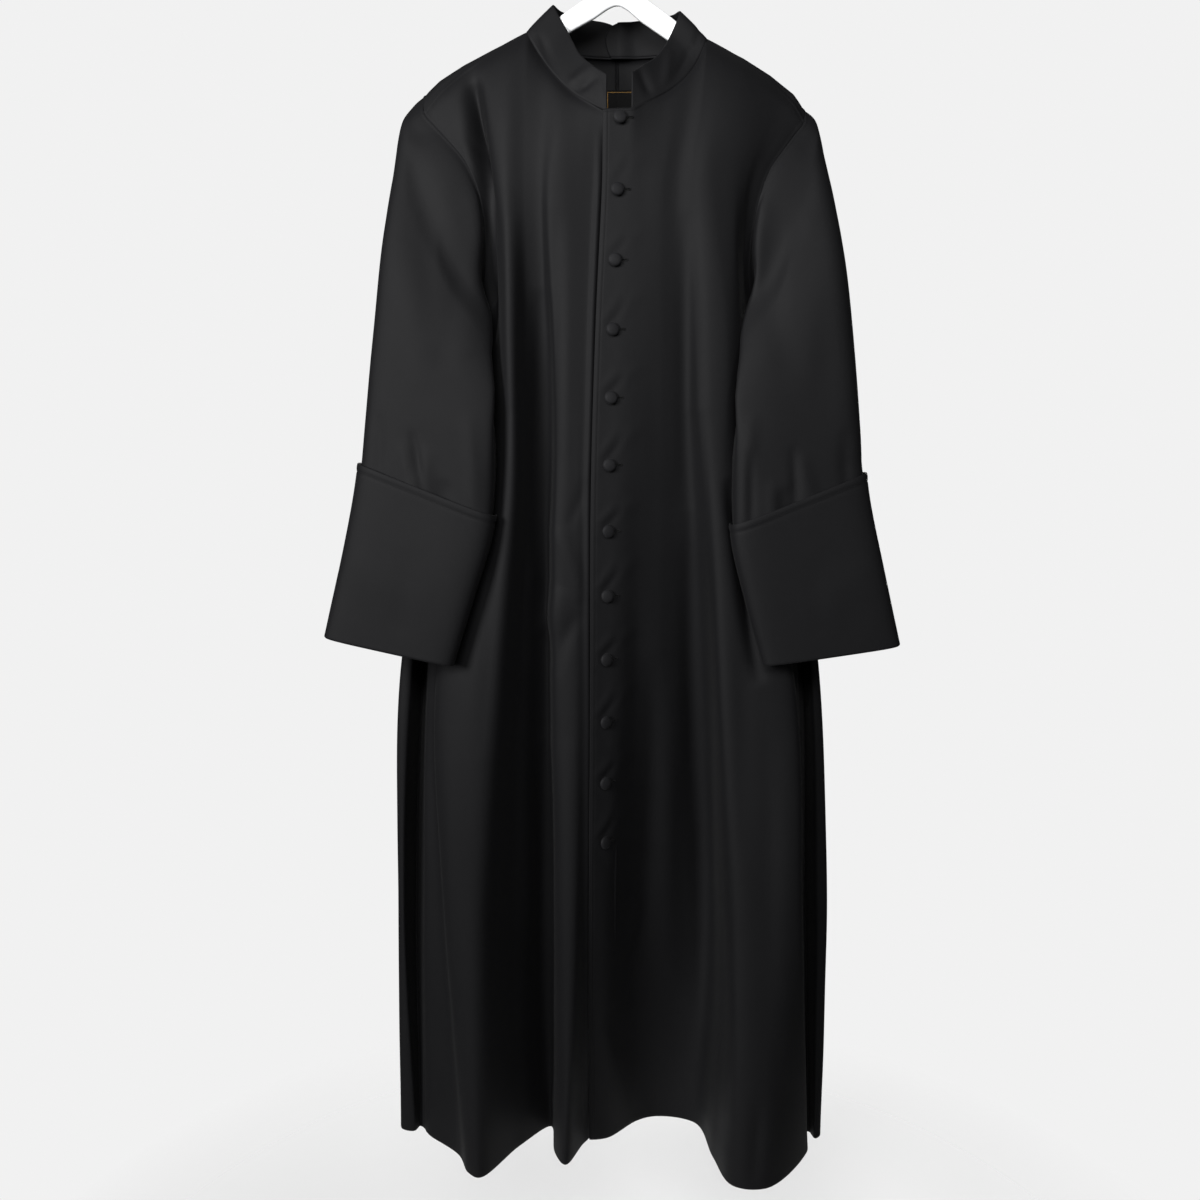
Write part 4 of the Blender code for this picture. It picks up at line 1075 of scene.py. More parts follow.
def stitch_row(name, path, normal_at):
    """Many short threads along a path.

    A thread is a ring of points carried along its length. At a share t of its length it
    stands lift x (2 sin(pi t) - 1) + 0.4 radius off the cloth, so that its ends dive in, and its
    thickness is radius x sin(pi t)^0.5.
    """
    run = run_along(path)
    starts = np.arange(STITCH_PITCH * 0.3, run[-1] - STITCH_LENGTH, STITCH_PITCH)
    share = np.linspace(0, 1, THREAD_RINGS)
    at = starts[:, None] + share[None, :] * STITCH_LENGTH

    def read(values):
        return np.stack([np.interp(at, run, values[:, axis]) for axis in range(3)], axis=2)

    place, up = read(path), unit(read(normal_at))
    along = unit(np.gradient(place, axis=1))
    swell = np.sin(np.pi * np.clip(share, 0.03, 0.97))
    rise = (STITCH_LIFT * (2 * swell - 1) + THREAD_RADIUS * 0.4)[:, None]
    thick = (THREAD_RADIUS * swell**0.5)[:, None, None]
    ring = (place + up * rise)[:, :, None] + circles(np.cross(along, up), up, THREAD_SIDES) * thick
    cell = ring_faces(THREAD_RINGS, THREAD_SIDES)
    ends = np.array([[3, 2, 1, 0], [5, 4, 3, 0]])
    tops = np.array([[0, 1, 2, 3], [0, 3, 4, 5]]) + (THREAD_RINGS - 1) * THREAD_SIDES
    one = np.concatenate([cell[:, ::-1], ends[:, ::-1], tops[:, ::-1]])
    faces = (np.arange(len(starts)) * THREAD_RINGS * THREAD_SIDES)[:, None, None] + one[None]
    return put_mesh(name, ring.reshape(-1, 3), faces.reshape(-1, 4))


def contour(grid, lengths, wanted):
    """The line down a grid where a length across it has the wanted value, read between columns."""
    share = np.array([np.interp(wanted, row, np.arange(len(row))) for row in lengths])
    low = np.clip(share.astype(int), 0, grid.shape[1] - 2)
    part = (share - low)[:, None]
    index = np.arange(len(grid))
    return grid[index, low] * (1 - part) + grid[index, low + 1] * part


def face_of(name):
    """The outer face of a piece's cloth and its normals."""
    grid = dressed[name]
    normal, _ = outward_normals(grid, is_tube(name), inside_of(name, grid))
    return grid + normal * wall_of(name) / 2, normal


face, normal = face_of("front_left")
lengths = run_across(face)
lines = [contour(values, lengths, STITCH_INSET) for values in (face, normal)]
stitches = {"front_edge_stitches": stitch_row("front_edge_stitches", *lines)}
for side in ("right", "left"):
    face, normal = face_of("cuff_" + side)
    # turned so that its rows run all round and its columns go down from the top edge
    below_top = (run_down(face)[-1:] - run_down(face))[::-1].T
    lines = []
    for values in (face, normal):
        line = contour(values[::-1].swapaxes(0, 1), below_top, CUFF_STITCH_INSET)
        lines.append(np.vstack([line, line[:1]]))
    name = f"cuff_stitches_{side}"
    stitches[name] = stitch_row(name, *lines)
print("thread faces:", {name: len(piece.data.polygons) for name, piece in stitches.items()})

# %% [markdown]
# ## Buttons and buttonholes
#
# Each button is a dome covered with cloth, on a short shank. A shape turned on a lathe would be
# too regular, so the cloth is gathered into small pleats under its rim. The buttonhole runs out
# beside it, and its edge is wrapped with close thread.

# %% Where each button sits
BUTTON_RADIUS = 7.9
BUTTON_HEIGHT = 4.8
BUTTON_STAND_OFF = 1.3
BUTTON_SIDES = 48
SEAT_REACH = 9  # how far on each side of a button the cloth's slope is read
GATHERS, GATHER_DEPTH = 14, 0.014  # the pleats under the rim, and their depth as a share
RIM_HEIGHT, RIM_WIDTH = 0.2, 0.16  # where the pleats are, as shares of the button's height
DOME_RINGS = 43
# How far a button tips right and up, as a slope: the mean, the wander and its rate.
TIP_RIGHT, TIP_UP = (0.16, 0.08, 2.4), (0.14, 0.06, 1.7)


def surface_at(grid, x, z):
    """The y of a panel at a place of its front view: read across each row, and then down."""
    order = np.argsort(grid[..., 0], axis=1)
    heights = [np.interp(x, row[o, 0], row[o, 2]) for row, o in zip(grid, order)]
    depths = [np.interp(x, row[o, 0], row[o, 1]) for row, o in zip(grid, order)]
    return float(np.interp(-z, -np.array(heights), depths))


def seat(x, z):
    """The place on the left front at (x, z), and its directions sideways, upright and outwards."""
    grid, reach = panels["front_left"], SEAT_REACH
    right, left = surface_at(grid, x - reach, z), surface_at(grid, x + reach, z)
    below, above = surface_at(grid, x, z - reach), surface_at(grid, x, z + reach)
    across = np.array((2 * reach, left - right, 0.0))
    upward = np.array((0.0, above - below, 2 * reach))
    out = unit(np.cross(across, upward))
    out *= -np.sign(out[1])
    upright = unit(upward - out * (upward @ out))
    sideways = np.cross(out, upright)
    sideways *= np.sign(sideways[0])
    return np.array((x, surface_at(grid, x, z), z)), sideways, upright, out


def leaning(sideways, upright, out, number):
    """A button's own directions: its shank lets it tip, so that it faces a little right and up."""
    right = TIP_RIGHT[0] + TIP_RIGHT[1] * math.sin(TIP_RIGHT[2] * number)
    up = TIP_UP[0] + TIP_UP[1] * math.cos(TIP_UP[2] * number)
    lean = unit(out + right * sideways + up * upright)
    side = unit(sideways - lean * (sideways @ lean))
    top = np.cross(lean, side)
    return side, top * np.sign(top @ upright), lean


# The dome's outline from the shank to the crown, as shares of its radius and height.
DOME = (
    (0.0, -0.05), (0.4, -0.05), (0.44, 0.1), (0.7, 0.13), (0.88, 0.17),
    (0.97, 0.25), (1.0, 0.36), (0.99, 0.48), (0.95, 0.6), (0.86, 0.74),
    (0.72, 0.85), (0.54, 0.92), (0.34, 0.97), (0.15, 0.995), (0.0, 1.0),
)
dome = spline(np.array([(r, 0, h) for r, h in DOME]), np.linspace(0, len(DOME) - 1, DOME_RINGS))
rim = heap(dome[:, 2:] - RIM_HEIGHT, RIM_WIDTH)
turn = np.linspace(0, 2 * np.pi, BUTTON_SIDES, endpoint=False)
faces = ring_faces(len(dome), BUTTON_SIDES)
buttons, seats = [], []
for number, place in enumerate(BUTTON_PLACES):
    seats.append(seat(*place))
    place, sideways, upright, out = seats[-1]
    base = place + out * (WALL / 2 + BUTTON_STAND_OFF)
    sideways, upright, out = leaning(sideways, upright, out, number)
    gather = rim * GATHER_DEPTH * np.cos(GATHERS * turn + number)
    radius = np.maximum(dome[:, :1], 0) * (1 + gather) * BUTTON_RADIUS
    hoops = radius[..., None] * circles(sideways, upright, BUTTON_SIDES)
    shape = base + hoops + (dome[:, 2] * BUTTON_HEIGHT)[:, None, None] * out
    cells = faces[:, ::-1] if np.cross(sideways, upright) @ out < 0 else faces
    flat = np.stack([radius * np.cos(turn), radius * np.sin(turn)], axis=2).reshape(-1, 2)
    points, name = shape.reshape(-1, 3), f"button_{number + 1:02d}_covered"
    piece = weld(put_mesh(name, points, cells, flat[cells]))
    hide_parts(f"button_{number + 1:02d}")
    buttons.append(piece)
print("buttons made:", len(buttons), "each", len(buttons[0].data.polygons), "faces")

# %% Buttonholes
HOLE_INNER, HOLE_OUTER = -3.0, 14.5  # its ends, sideways from the middle of the button
HOLE_HALF_HEIGHT = 0.75
HOLE_THREAD = 0.5
HOLE_WRAPS = 62
HOLE_RINGS, HOLE_SIDES = 372, 8
WRAP_DEPTH = 0.22  # how far the thread's thickness swells and thins with each wrap
EYE_HEIGHT, EYE_AT, EYE_WIDTH = 0.55, 0.93, 0.09  # the last two as shares of the length
HOLE_LIFT, SLIT_LIFT, SLIT_DEPTH = 0.1, 0.12, 0.3  # above the cloth's face, and the slit's wall
SLIT_STEPS, SLIT_BLUNT = 24, 0.4  # a smaller power gives the slit blunter ends
SIDE_STEPS, END_STEPS = 60, 12


def buttonhole(name, number):
    """A ring of wrapped thread round a slit.

    The ring is a tube round a stadium. Its radius is HOLE_THREAD x (1 + WRAP_DEPTH cos(a)),
    where a makes a turn for each of the HOLE_WRAPS, so that each wrap stands out.
    """
    place, sideways, upright, out = seats[number]
    x, bow = np.linspace(HOLE_INNER, HOLE_OUTER, SIDE_STEPS), HOLE_HALF_HEIGHT
    # the outer end is a small round eye, where the shank pulls
    high = bow + EYE_HEIGHT * heap(np.linspace(0, 1, SIDE_STEPS) - EYE_AT, EYE_WIDTH)
    right = np.radians(np.linspace(80, -80, END_STEPS))
    left = np.radians(np.linspace(-100, -260, END_STEPS))
    offset = np.concatenate([
        np.column_stack([x, high]),
        np.column_stack([x[-1] + bow * np.cos(right), high[-1] * np.sin(right)]),
        np.column_stack([x[::-1], -high[::-1]]),
        np.column_stack([x[0] + bow * np.cos(left), bow * np.sin(left)]),
    ])
    path = place + offset[:, :1] * sideways + offset[:, 1:] * upright
    path = path + out * (WALL / 2 + HOLE_LIFT)
    path = even_lengths(np.vstack([path, path[:1]]), HOLE_RINGS + 1)[:-1]
    across = np.cross(unit(np.roll(path, -1, axis=0) - np.roll(path, 1, axis=0)), out)
    run = np.arange(HOLE_RINGS) / HOLE_RINGS
    thick = HOLE_THREAD * (1 + WRAP_DEPTH * np.cos(2 * np.pi * HOLE_WRAPS * run))[:, None, None]
    shape = path[:, None] + thick * circles(across, out, HOLE_SIDES)
    r, c = grid_faces(HOLE_RINGS + 1, HOLE_SIDES, True)
    faces = (r % HOLE_RINGS) * HOLE_SIDES + c % HOLE_SIDES
    return put_mesh(name, shape.reshape(-1, 3), faces[:, ::-1])


def slit(name, number):
    """Painted shade in the opening between the two lips: a dark lens-shaped sheet on the cloth."""
    place, sideways, upright, out = seats[number]
    n = SLIT_STEPS
    share = np.linspace(0, 1, n)[:, None]
    half = HOLE_HALF_HEIGHT * np.sin(np.pi * np.clip(share, 0.02, 0.98)) ** SLIT_BLUNT * upright
    line = place + out * (WALL / 2 + SLIT_LIFT)
    line = line + (HOLE_INNER + (HOLE_OUTER - HOLE_INNER) * share) * sideways
    grid = np.stack([line - half, line + half], axis=1).reshape(-1, 3)
    points = np.concatenate([grid, grid - out * SLIT_DEPTH])
    i = np.arange(n - 1)
    front = np.stack([2 * i, 2 * i + 2, 2 * i + 3, 2 * i + 1], 1)
    low = np.stack([2 * i, 2 * i + 2 * n, 2 * i + 2 + 2 * n, 2 * i + 2], 1)
    high = np.stack([2 * i + 1, 2 * i + 3, 2 * i + 3 + 2 * n, 2 * i + 1 + 2 * n], 1)
    ends = np.array([[0, 1, 1 + 2 * n, 2 * n], [2 * n - 2, 4 * n - 2, 4 * n - 1, 2 * n - 1]])
    faces = np.concatenate([front, front[:, ::-1] + 2 * n, low, high, ends])
    return put_mesh(name, points, faces)


holes = [buttonhole(f"buttonhole_{n + 1:02d}", n) for n in range(len(seats))]
# each slit is a sheet of painted shade lying on the cloth, not a real opening
slit_shade_sheets = [slit(f"buttonhole_slit_shade_{n + 1:02d}", n) for n in range(len(seats))]
print("buttonholes:", len(holes))

# %% [markdown]
# ## The neck label, the hanger and its hook
#
# The label is a small satin rectangle sewn in below the collar, left plain apart from a woven
# border. The hanger is a flat moulded arm on each side with rounded edges, and a steel hook is set
# into its middle.

# %% Label
LABEL = {"x": 8, "top": -174, "width": 44, "height": 27, "wall": 1.0, "clear": 0.6, "ripple": 0.25}
LABEL_BEHIND = (0.0, 200.0, -185.0)  # a place behind it, which its face looks away from
u, v = np.linspace(-0.5, 0.5, 45), np.linspace(0, 1, 28)
label_x = LABEL["x"] + LABEL["width"] * u
label_z = LABEL["top"] - LABEL["height"] * v
backs = {False: panels["back_left"], True: panels["back_right"]}
# The backs are nearly flat here, so the label's depth is read along four lines and blended.
corners_x, corners_z = label_x[[0, 14, 30, -1]], label_z[[0, 9, 18, -1]]
depth = np.array([[surface_at(backs[bool(x < 0)], x, z) for x in corners_x] for z in corners_z])
across_depth = np.array([np.interp(label_x, corners_x, row) for row in depth])
label_y = np.array([np.interp(-label_z, -corners_z, column) for column in across_depth.T]).T
label_y = label_y - WALL / 2 - LABEL["wall"] / 2 - LABEL["clear"]
label_y += LABEL["ripple"] * np.cos(2 * np.pi * u * 2)[None, :] * np.sin(np.pi * v)[:, None]
label_grid = np.stack(np.broadcast_arrays(label_x[None, :], label_y, label_z[:, None]), axis=2)
label = cloth_solid("neck_label_satin", label_grid, LABEL["wall"] * 0.6, LABEL_BEHIND)
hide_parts("neck_label")
print("label at", label_grid.mean(axis=(0, 1)).round(1))

# %% Hanger
HANGER_ARM = {
    "right": {
        "x": (0, -30, -60, -105, -150, -185, -206),
        "top": (-64, -80, -99, -128, -151, -170, -184),
        "bottom": (-93, -108, -124, -151, -172, -188, -196),
    },
    "left": {
        "x": (0, 30, 61, 103, 148, 180, 202),
        "top": (-64, -83, -104, -136, -159, -180, -197),
        "bottom": (-93, -112, -132, -158, -180, -197, -208),
    },
}
HANGER_THICKNESS = 9.0
HANGER_TIP = 6  # the length of the rounding at an arm's end
HANGER_RINGS, HANGER_SIDES, HANGER_POWER = 241, 40, 3


def hanger_grid():
    """The hanger as rings along its length.

    A ring is a superellipse of power 3: |y / half thickness|^3 + |z / half height|^3 = 1, and
    both halves shrink to nothing over HANGER_TIP at the arms' ends, as a rounded tip.
    """
    right, left = HANGER_ARM["right"], HANGER_ARM["left"]
    table = [right[key][:0:-1] + left[key] for key in ("x", "top", "bottom")]
    fine = spline(np.column_stack(table), np.linspace(0, len(table[0]) - 1, HANGER_RINGS))
    end = np.minimum(fine[:, 0] - fine[0, 0], fine[-1, 0] - fine[:, 0])
    tip = np.sqrt(np.clip(1 - (1 - fade_in(end, HANGER_TIP)) ** 2, 1e-6, 1))
    angle, power = np.linspace(0, 2 * np.pi, HANGER_SIDES, endpoint=False), 2 / HANGER_POWER
    cos, sin = (np.sign(c) * np.abs(c) ** power for c in (np.cos(angle), np.sin(angle)))
    middle, half = (fine[:, 1] + fine[:, 2]) / 2, (fine[:, 1] - fine[:, 2]) / 2
    y = tip[:, None] * HANGER_THICKNESS / 2 * cos
    z = middle[:, None] + (tip * half)[:, None] * sin
    return np.stack([np.broadcast_to(fine[:, :1], y.shape), y, z], axis=2)


def tube_piece(name, grid):
    """A closed tube from rings of points; the two ends are closed towards their middles."""
    _, turned = outward_normals(grid, True, ring_middles(grid))
    ends = np.broadcast_to(ring_middles(grid), grid.shape)
    grid = np.concatenate([ends[:1], grid, ends[-1:]])
    faces = ring_faces(*grid.shape[:2])
    if turned:
        faces = faces[:, ::-1]
    return weld(put_mesh(name, grid.reshape(-1, 3), faces))


hanger = tube_piece("hanger_moulding", hanger_grid())
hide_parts("hanger")

# %% Hook
HOOK_WIRE, HOOK_INNER_RADIUS = 3.8, 19.0
HOOK_NECK_Z, HOOK_FOOT_Z = -44.0, -61.0
HOOK_BEND = (-60, 205)  # the bend's first and last direction from its centre, in degrees
HOOK_RINGS, HOOK_SIDES = 150, 24


def hook_grid():
    """A wire carried up the stem and round the bend, with its free end rounded."""
    radius = HOOK_INNER_RADIUS + HOOK_WIRE / 2
    bend = np.radians(np.linspace(*HOOK_BEND, 15))
    path = [(0.0, HOOK_FOOT_Z), (0.0, HOOK_NECK_Z)]
    path += [(radius * math.cos(a), radius * math.sin(a) - HOOK_INNER_RADIUS) for a in bend]
    path = spline(np.array([(x, 0, z) for x, z in path]), np.linspace(0, len(path) - 1, HOOK_RINGS))
    across = np.cross(unit(np.gradient(path, axis=0)), (0.0, 1.0, 0.0))
    run = run_along(path)
    left = fade_in(run[-1] - run, HOOK_WIRE / 2)
    thick = HOOK_WIRE / 2 * np.sqrt(np.clip(1 - (1 - left) ** 2, 1e-4, 1))
    return path[:, None] + thick[:, None, None] * circles(across, (0.0, 1.0, 0.0), HOOK_SIDES)


hook = tube_piece("hook_wire", hook_grid())
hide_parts("hanger_hook")
for name, piece in cloth.items():
    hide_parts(name)
print("hanger", len(hanger.data.polygons), "hook", len(hook.data.polygons), "faces")

# %% [markdown]
# ## Finishes
#
# The black cloth is a fine smooth suiting. At this size its threads are about 0.4 mm apart, so
# they show as a faint grain and not as a pattern. They are worked out from the lengths along the
# cloth that each grid stored, so the grain runs down every fold. A picture of cloth could be used
# instead, but it would blur when seen close.


# %% Helpers for finishes
class Finish:
    """A material and short words for its nodes."""

    def __init__(self, name):
        self.material = bpy.data.materials.new(name)
        self.material.use_nodes = True
        self.tree = self.material.node_tree
        self.shader = self.tree.nodes["Principled BSDF"]

    def add(self, kind, inputs=None, **settings):
        """A node with its settings and inputs, each a value or another node's output."""
        node = self.tree.nodes.new(kind)
        for key, value in settings.items():
            setattr(node, key, value)
        for key, value in (inputs or {}).items():
            self.join(value, node.inputs[key])
        return node

    def join(self, value, socket):
        """Links an output to a socket, or sets the socket to a value."""
        if isinstance(value, bpy.types.NodeSocket):
            self.tree.links.new(value, socket)
        else:
            socket.default_value = value

    def maths(self, operation, a, b=0.0):
        """The result of one operation on two values."""
        return self.add("ShaderNodeMath", {0: a, 1: b}, operation=operation).outputs[0]

    def lengths(self):
        """The lengths along the cloth: both together, across, and down."""
        uv = self.add("ShaderNodeUVMap", uv_map="cloth").outputs["UV"]
        split = self.add("ShaderNodeSeparateXYZ", {0: uv}).outputs
        return uv, split["X"], split["Y"]

    def place(self):
        """The place on a piece that has no lengths."""
        return self.add("ShaderNodeTexCoord").outputs["Object"]

    def noise(self, place, scale, detail=2.0):
        """A noise over places, from 0 to 1."""
        inputs = {"Vector": place, "Scale": scale, "Detail": detail}
        return self.add("ShaderNodeTexNoise", inputs).outputs[0]

    def stretch(self, value, low, high):
        """A value from 0 to 1 turned into one from low to high."""
        inputs = {"Value": value, "To Min": low, "To Max": high}
        return self.add("ShaderNodeMapRange", inputs).outputs[0]

    def tone(self, share, dark, light):
        """A colour between two, by a share."""
        inputs = {0: share, 6: (*dark, 1), 7: (*light, 1)}
        return self.add("ShaderNodeMix", inputs, data_type="RGBA").outputs[2]

    def set(self, **values):
        """Sets or links the shader's own inputs; an underscore stands for a space."""
        for key, value in values.items():
            self.join(value, self.shader.inputs[key.replace("_", " ")])

    def bump(self, height, strength, distance):
        """Bends the shader's normal by a height."""
        inputs = {"Height": height, "Strength": strength, "Distance": distance}
        node = self.add("ShaderNodeBump", inputs)
        self.join(node.outputs["Normal"], self.shader.inputs["Normal"])


YARN_SCALE, CLOUD_SCALE, SPECK_SCALE = 900.0, 9.0, 1400.0
CLOUD_SHARE, SPECK_SHARE, DARKER = 0.3, 0.35, 0.08
YARN_STRETCH = 0.03  # the yarn's noise is this much slower down the cloth than across it
YARN_HEIGHT, WEAVE_STRENGTH, WEAVE_DEPTH = 0.6, 0.35, 0.00012


def woven(name, dark, light, roughness, thread, sheen, streak=0.5):
    """A finely woven cloth. Its height is |sin| of the lengths across and along, one per thread.

    The colour wanders between dark and light with three noises: long thin streaks down the cloth
    for uneven yarn, a broad cloudiness for handling, and a fine speckle for the weave.
    """
    finish = Finish(name)
    uv, *sides = finish.lengths()
    waves = []
    for side in sides:
        turns = finish.maths("MULTIPLY", side, math.pi / thread)
        waves.append(finish.maths("ABSOLUTE", finish.maths("SINE", turns)))
    weave = finish.maths("MULTIPLY", *waves)
    inputs = {"Vector": uv, "Scale": (1, YARN_STRETCH, 1)}
    yarn = finish.noise(finish.add("ShaderNodeMapping", inputs).outputs[0], YARN_SCALE, 3.0)
    cloud, speck = finish.noise(uv, CLOUD_SCALE, 3.0), finish.noise(uv, SPECK_SCALE)
    mix = finish.maths("MULTIPLY", yarn, streak)
    for noise, share in ((cloud, CLOUD_SHARE), (speck, SPECK_SHARE)):
        mix = finish.maths("ADD", mix, finish.maths("MULTIPLY", noise, share))
    mix = finish.maths("SUBTRACT", mix, DARKER)
    finish.set(
        Base_Color=finish.tone(mix, dark, light),
        Roughness=finish.stretch(cloud, roughness - 0.05, roughness + 0.05),
        Sheen_Weight=sheen, Sheen_Roughness=0.4, Specular_IOR_Level=0.10,
    )
    height = finish.maths("ADD", weave, finish.maths("MULTIPLY", yarn, YARN_HEIGHT))
    finish.bump(height, WEAVE_STRENGTH, WEAVE_DEPTH)
    return finish.material


# %% The finishes themselves
SUITING_THREAD, BUTTON_THREAD = 0.00042, 0.0003  # metres from thread to thread
suiting = woven(
    "black_suiting", (0.0036, 0.0036, 0.0040), (0.0068, 0.0068, 0.0075), 0.62, SUITING_THREAD, 0.02
)
collar_cloth = woven(
    "black_collar_cloth", (0.0037, 0.0037, 0.0041), (0.0070, 0.0070, 0.0077), 0.62,
    SUITING_THREAD, 0.02,
)
button_cloth = woven(
    "button_covering", (0.0066, 0.0066, 0.0073), (0.0115, 0.0115, 0.0126), 0.58,
    BUTTON_THREAD, 0.04, 0.2,
)

thread = Finish("sewing_thread")
grain = thread.noise(thread.place(), 2500.0)
tone = thread.tone(grain, (0.0016, 0.0016, 0.0018), (0.0042, 0.0042, 0.0046))
thread.set(Base_Color=tone, Roughness=0.55, Specular_IOR_Level=0.2)
thread.bump(grain, 0.4, 0.00008)

# The slits' finish is painted shade: near black, for the shadow inside each buttonhole's opening.
shadow_cloth = Finish("slit_shadow")
grain = shadow_cloth.noise(shadow_cloth.place(), 1500.0)
tone = shadow_cloth.tone(grain, (0.001, 0.001, 0.001), (0.004, 0.004, 0.004))
shadow_cloth.set(Base_Color=tone, Roughness=0.9, Specular_IOR_Level=0.1)

BORDER_FROM, BORDER_TO = 0.0020, 0.0027  # the label's woven line, in metres from its edge
LABEL_RIB = 0.00045


def satin_label():
    """Black satin with a woven ochre border, a line between two distances from the edge."""
    finish = Finish("label_satin")
    _, *sides = finish.lengths()
    to_edge = []
    for side, size in zip(sides, (LABEL["width"], LABEL["height"])):
        half = size * MM / 2
        from_middle = finish.maths("ABSOLUTE", finish.maths("SUBTRACT", side, half))
        to_edge.append(finish.maths("SUBTRACT", half, from_middle))
    edge = finish.maths("MINIMUM", *to_edge)
    inner = finish.maths("GREATER_THAN", edge, BORDER_FROM)
    line = finish.maths("MULTIPLY", inner, finish.maths("LESS_THAN", edge, BORDER_TO))
    ribs = finish.maths("SINE", finish.maths("MULTIPLY", sides[1], 2 * math.pi / LABEL_RIB))
    tone = finish.tone(line, (0.0022, 0.0021, 0.0022), (0.22, 0.12, 0.03))
    finish.set(Base_Color=tone, Roughness=0.6, Specular_IOR_Level=0.06)
    finish.bump(ribs, 0.25, 0.00006)
    return finish.material


def moulded_plastic():
    """Glossy white plastic with a very slight ripple and a little haze from handling."""
    finish = Finish("white_moulding")
    place = finish.place()
    haze = finish.noise(place, 160.0, 4.0)
    tone = finish.tone(haze, (0.78, 0.79, 0.80), (0.86, 0.87, 0.88))
    finish.set(Base_Color=tone, Roughness=finish.stretch(haze, 0.22, 0.36), Coat_Weight=0.2)
    finish.bump(finish.noise(place, 38.0, 3.0), 0.1, 0.0008)
    return finish.material


def plated_steel():
    """Bright plated wire with small dull spots."""
    finish = Finish("hook_plating")
    spots = finish.noise(finish.place(), 420.0, 5.0)
    tone = finish.tone(spots, (0.50, 0.50, 0.51), (0.68, 0.68, 0.69))
    finish.set(Base_Color=tone, Roughness=finish.stretch(spots, 0.12, 0.34), Metallic=1.0)
    finish.bump(spots, 0.08, 0.0002)
    return finish.material


def wear(pieces, material):
    """Gives every piece its finish, as the only material of its mesh."""
    for piece in pieces:
        piece.data.materials.clear()
        piece.data.materials.append(material)


wear([o for n, o in cloth.items() if not n.startswith("collar")], suiting)
wear([o for n, o in cloth.items() if n.startswith("collar")], collar_cloth)
wear(buttons, button_cloth)
wear([*stitches.values(), *holes], thread.material)
wear(slit_shade_sheets, shadow_cloth.material)
wear([label], satin_label())
wear([hanger], moulded_plastic())
wear([hook], plated_steel())
print("finishes:", [m.name for m in bpy.data.materials if m.users])

# %% [markdown]
# ## The cut of the cloth
#
# The size of every piece of cloth before it was sewn is worked out and printed. The width and
# length are the longest lines across and down the piece, and the area is smaller, because panels
# are narrow at the top and wide at the hem.


# %% State the flat sizes
def cut_of(grid, closed):
    """The widest row, the longest column and the area of a surface, in metres.

    The area is the sum of half the length of the cross product of each cell's two diagonals.
    """
    whole = np.concatenate([grid, grid[:, :1]], axis=1) if closed else grid
    width, length = run_across(whole)[:, -1].max(), run_down(whole)[-1].max()
    one, two = whole[1:, 1:] - whole[:-1, :-1], whole[1:, :-1] - whole[:-1, 1:]
    area = np.linalg.norm(np.cross(one, two), axis=2).sum() / 2
    return width * MM, length * MM, area * MM * MM


for name, piece in cloth.items():
    width, length, area = cut_of(dressed[name], is_tube(name))
    area = min(area, width * length)
    print(f"{name}: {width:.3f} x {length:.3f} m, {area:.3f} m2")
width, length, area = cut_of(label_grid, False)

# %% [markdown]
# ## The camera, the light and the floor
#
# The camera stands a metre and a half in front, level with the chest, and looks slightly down.
# Black cloth shows its shape only by how the light falls on it. The main light stands to the left
# and above, well to the side of the camera, so that each fold has a light flank and a dark one. A
# weaker light over the camera and a very weak one on the right keep the dark flanks from closing
# up, and a last one stands behind for the inside and the back. All four are large and soft. The
# floor is pale, lies well below the hem and fades into the pale room before its edges are seen.

# %% Camera
CAMERA_PLACE = (-0.021, -1.5, -0.55)
CAMERA_SLOPE = 0.165  # how far it looks down over each metre forward
camera_data = bpy.data.cameras.new("camera")
camera_data.lens = camera_data.sensor_width = 36.0
camera = bpy.data.objects.new("camera", camera_data)
camera.location = CAMERA_PLACE
camera.rotation_euler = (math.pi / 2 - math.atan(CAMERA_SLOPE), 0, 0)
bpy.context.scene.collection.objects.link(camera)
bpy.context.scene.camera = camera
print("camera at", CAMERA_PLACE)

# %% Lights
LIGHTS = {  # place, aim, width, height, watts, spread in degrees
    "key_left": ((-3.2, -3.2, 0.7), (0, 0, -0.2), 1.5, 1.5, 49, 70),
    "fill_right": ((2.4, -2.4, 0.0), (0, 0, -0.4), 1.0, 1.4, 4, 100),
    "soft_front": ((-0.3, -2.6, 0.7), (0, 0, -0.3), 1.6, 0.8, 14, 80),
    "soft_behind": ((0.5, 2.2, -0.8), (0, 0, -0.8), 1.8, 1.0, 45, 140),
}
for name, (place, aim, width, height, watts, spread) in LIGHTS.items():
    data = bpy.data.lights.new(name, "AREA")
    data.spread = math.radians(spread)
    data.shape, data.size, data.size_y, data.energy = "RECTANGLE", width, height, watts
    light = bpy.data.objects.new(name, data)
    light.location = place
    light.rotation_euler = (Vector(aim) - Vector(place)).to_track_quat("-Z", "Y").to_euler()
    bpy.context.scene.collection.objects.link(light)

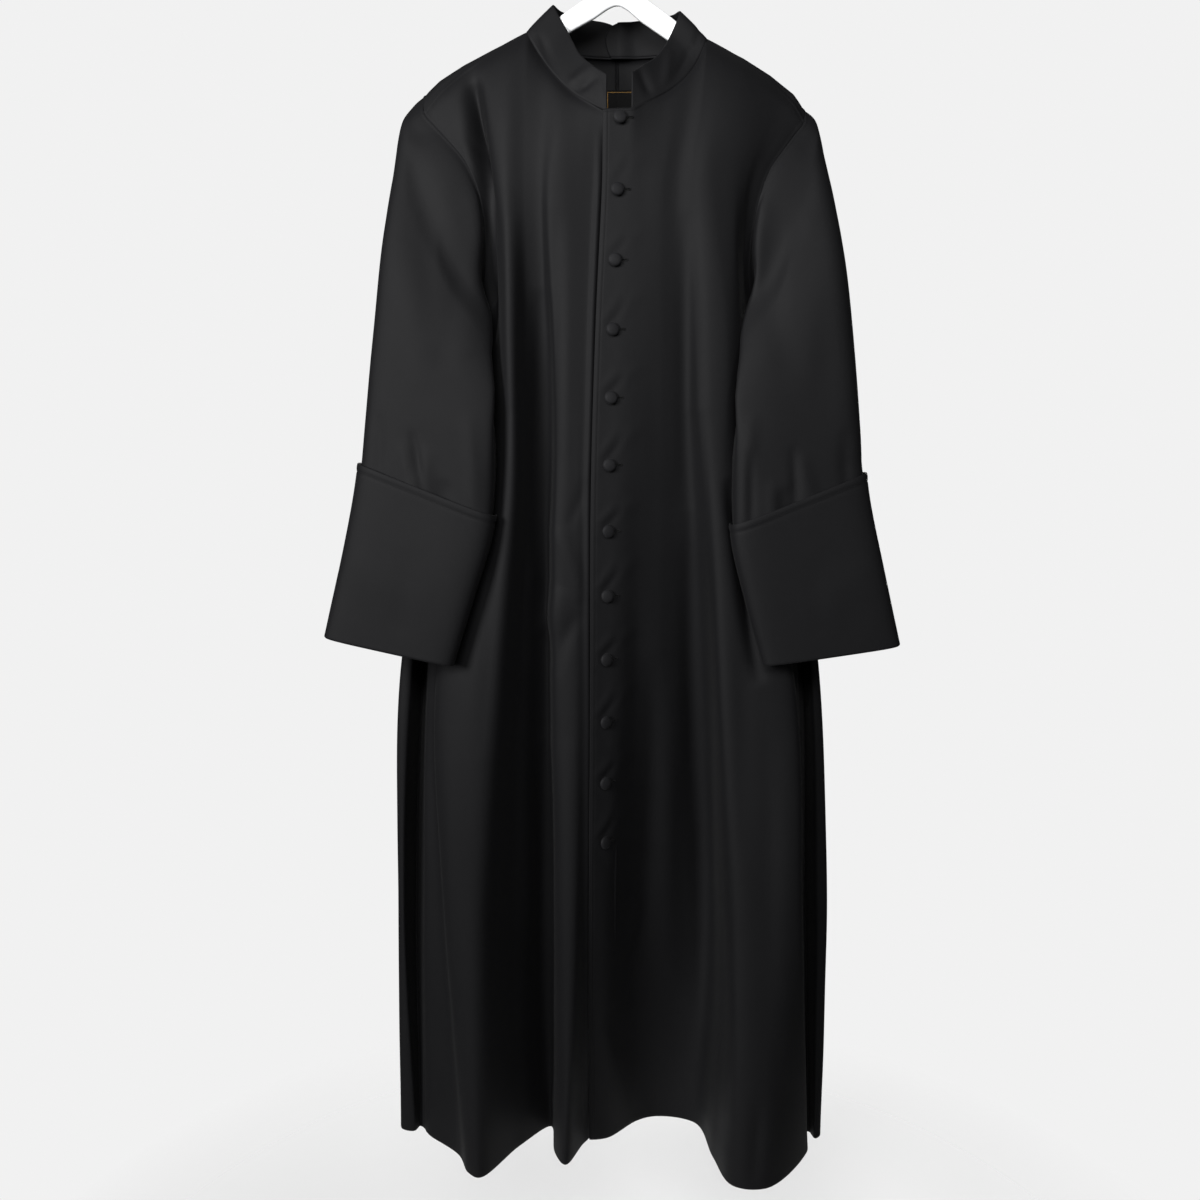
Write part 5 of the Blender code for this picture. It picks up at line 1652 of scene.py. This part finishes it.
# %% Room and floor
AMBIENT, BACKDROP = 0.02, 0.88
FLOOR_Z, FLOOR_HALF = -1.9, 6.0
FLOOR_SOLID, FLOOR_GONE = 0.35, 1.0  # distances from below the garment between which it fades
world = bpy.data.worlds.new("room")
bpy.context.scene.world = world
world.use_nodes = True
tree = world.node_tree
tree.nodes.clear()
seen = tree.nodes.new("ShaderNodeLightPath").outputs["Is Camera Ray"]
mix = tree.nodes.new("ShaderNodeMixShader")
for socket, strength in ((1, AMBIENT), (2, BACKDROP)):
    light = tree.nodes.new("ShaderNodeBackground")
    light.inputs["Color"].default_value = (1.0, 1.0, 1.0, 1)
    light.inputs["Strength"].default_value = strength
    tree.links.new(light.outputs[0], mix.inputs[socket])
tree.links.new(seen, mix.inputs[0])
tree.links.new(mix.outputs[0], tree.nodes.new("ShaderNodeOutputWorld").inputs[0])
bpy.context.scene.view_settings.view_transform = "Standard"

corner = np.array([(-1, -1), (1, -1), (1, 1), (-1, 1)]) * FLOOR_HALF
floor_mesh = bpy.data.meshes.new("floor")
floor_mesh.from_pydata(np.column_stack([corner, np.full(4, FLOOR_Z)]), [], [(0, 1, 2, 3)])
floor = bpy.data.objects.new("floor", floor_mesh)
bpy.context.scene.collection.objects.link(floor)
pale = Finish("pale_floor")
where = pale.place()
tone = pale.tone(pale.noise(where, 3.0), (0.80, 0.80, 0.80), (0.86, 0.86, 0.86))
pale.set(Base_Color=tone, Roughness=0.9)
# the floor is solid below the garment and fades out into the pale room between two distances
below = (0.0, 0.0, FLOOR_Z)
away = pale.add("ShaderNodeVectorMath", {0: where, 1: below}, operation="DISTANCE")
inputs = {"Value": away.outputs["Value"], "From Min": FLOOR_SOLID, "From Max": FLOOR_GONE}
fade = pale.add("ShaderNodeMapRange", inputs).outputs[0]
clear = pale.add("ShaderNodeBsdfTransparent").outputs[0]
blend = pale.add("ShaderNodeMixShader", {0: fade, 1: pale.shader.outputs[0], 2: clear})
pale.join(blend.outputs[0], pale.tree.nodes["Material Output"].inputs["Surface"])
floor_mesh.materials.append(pale.material)
print("floor at", FLOOR_Z)
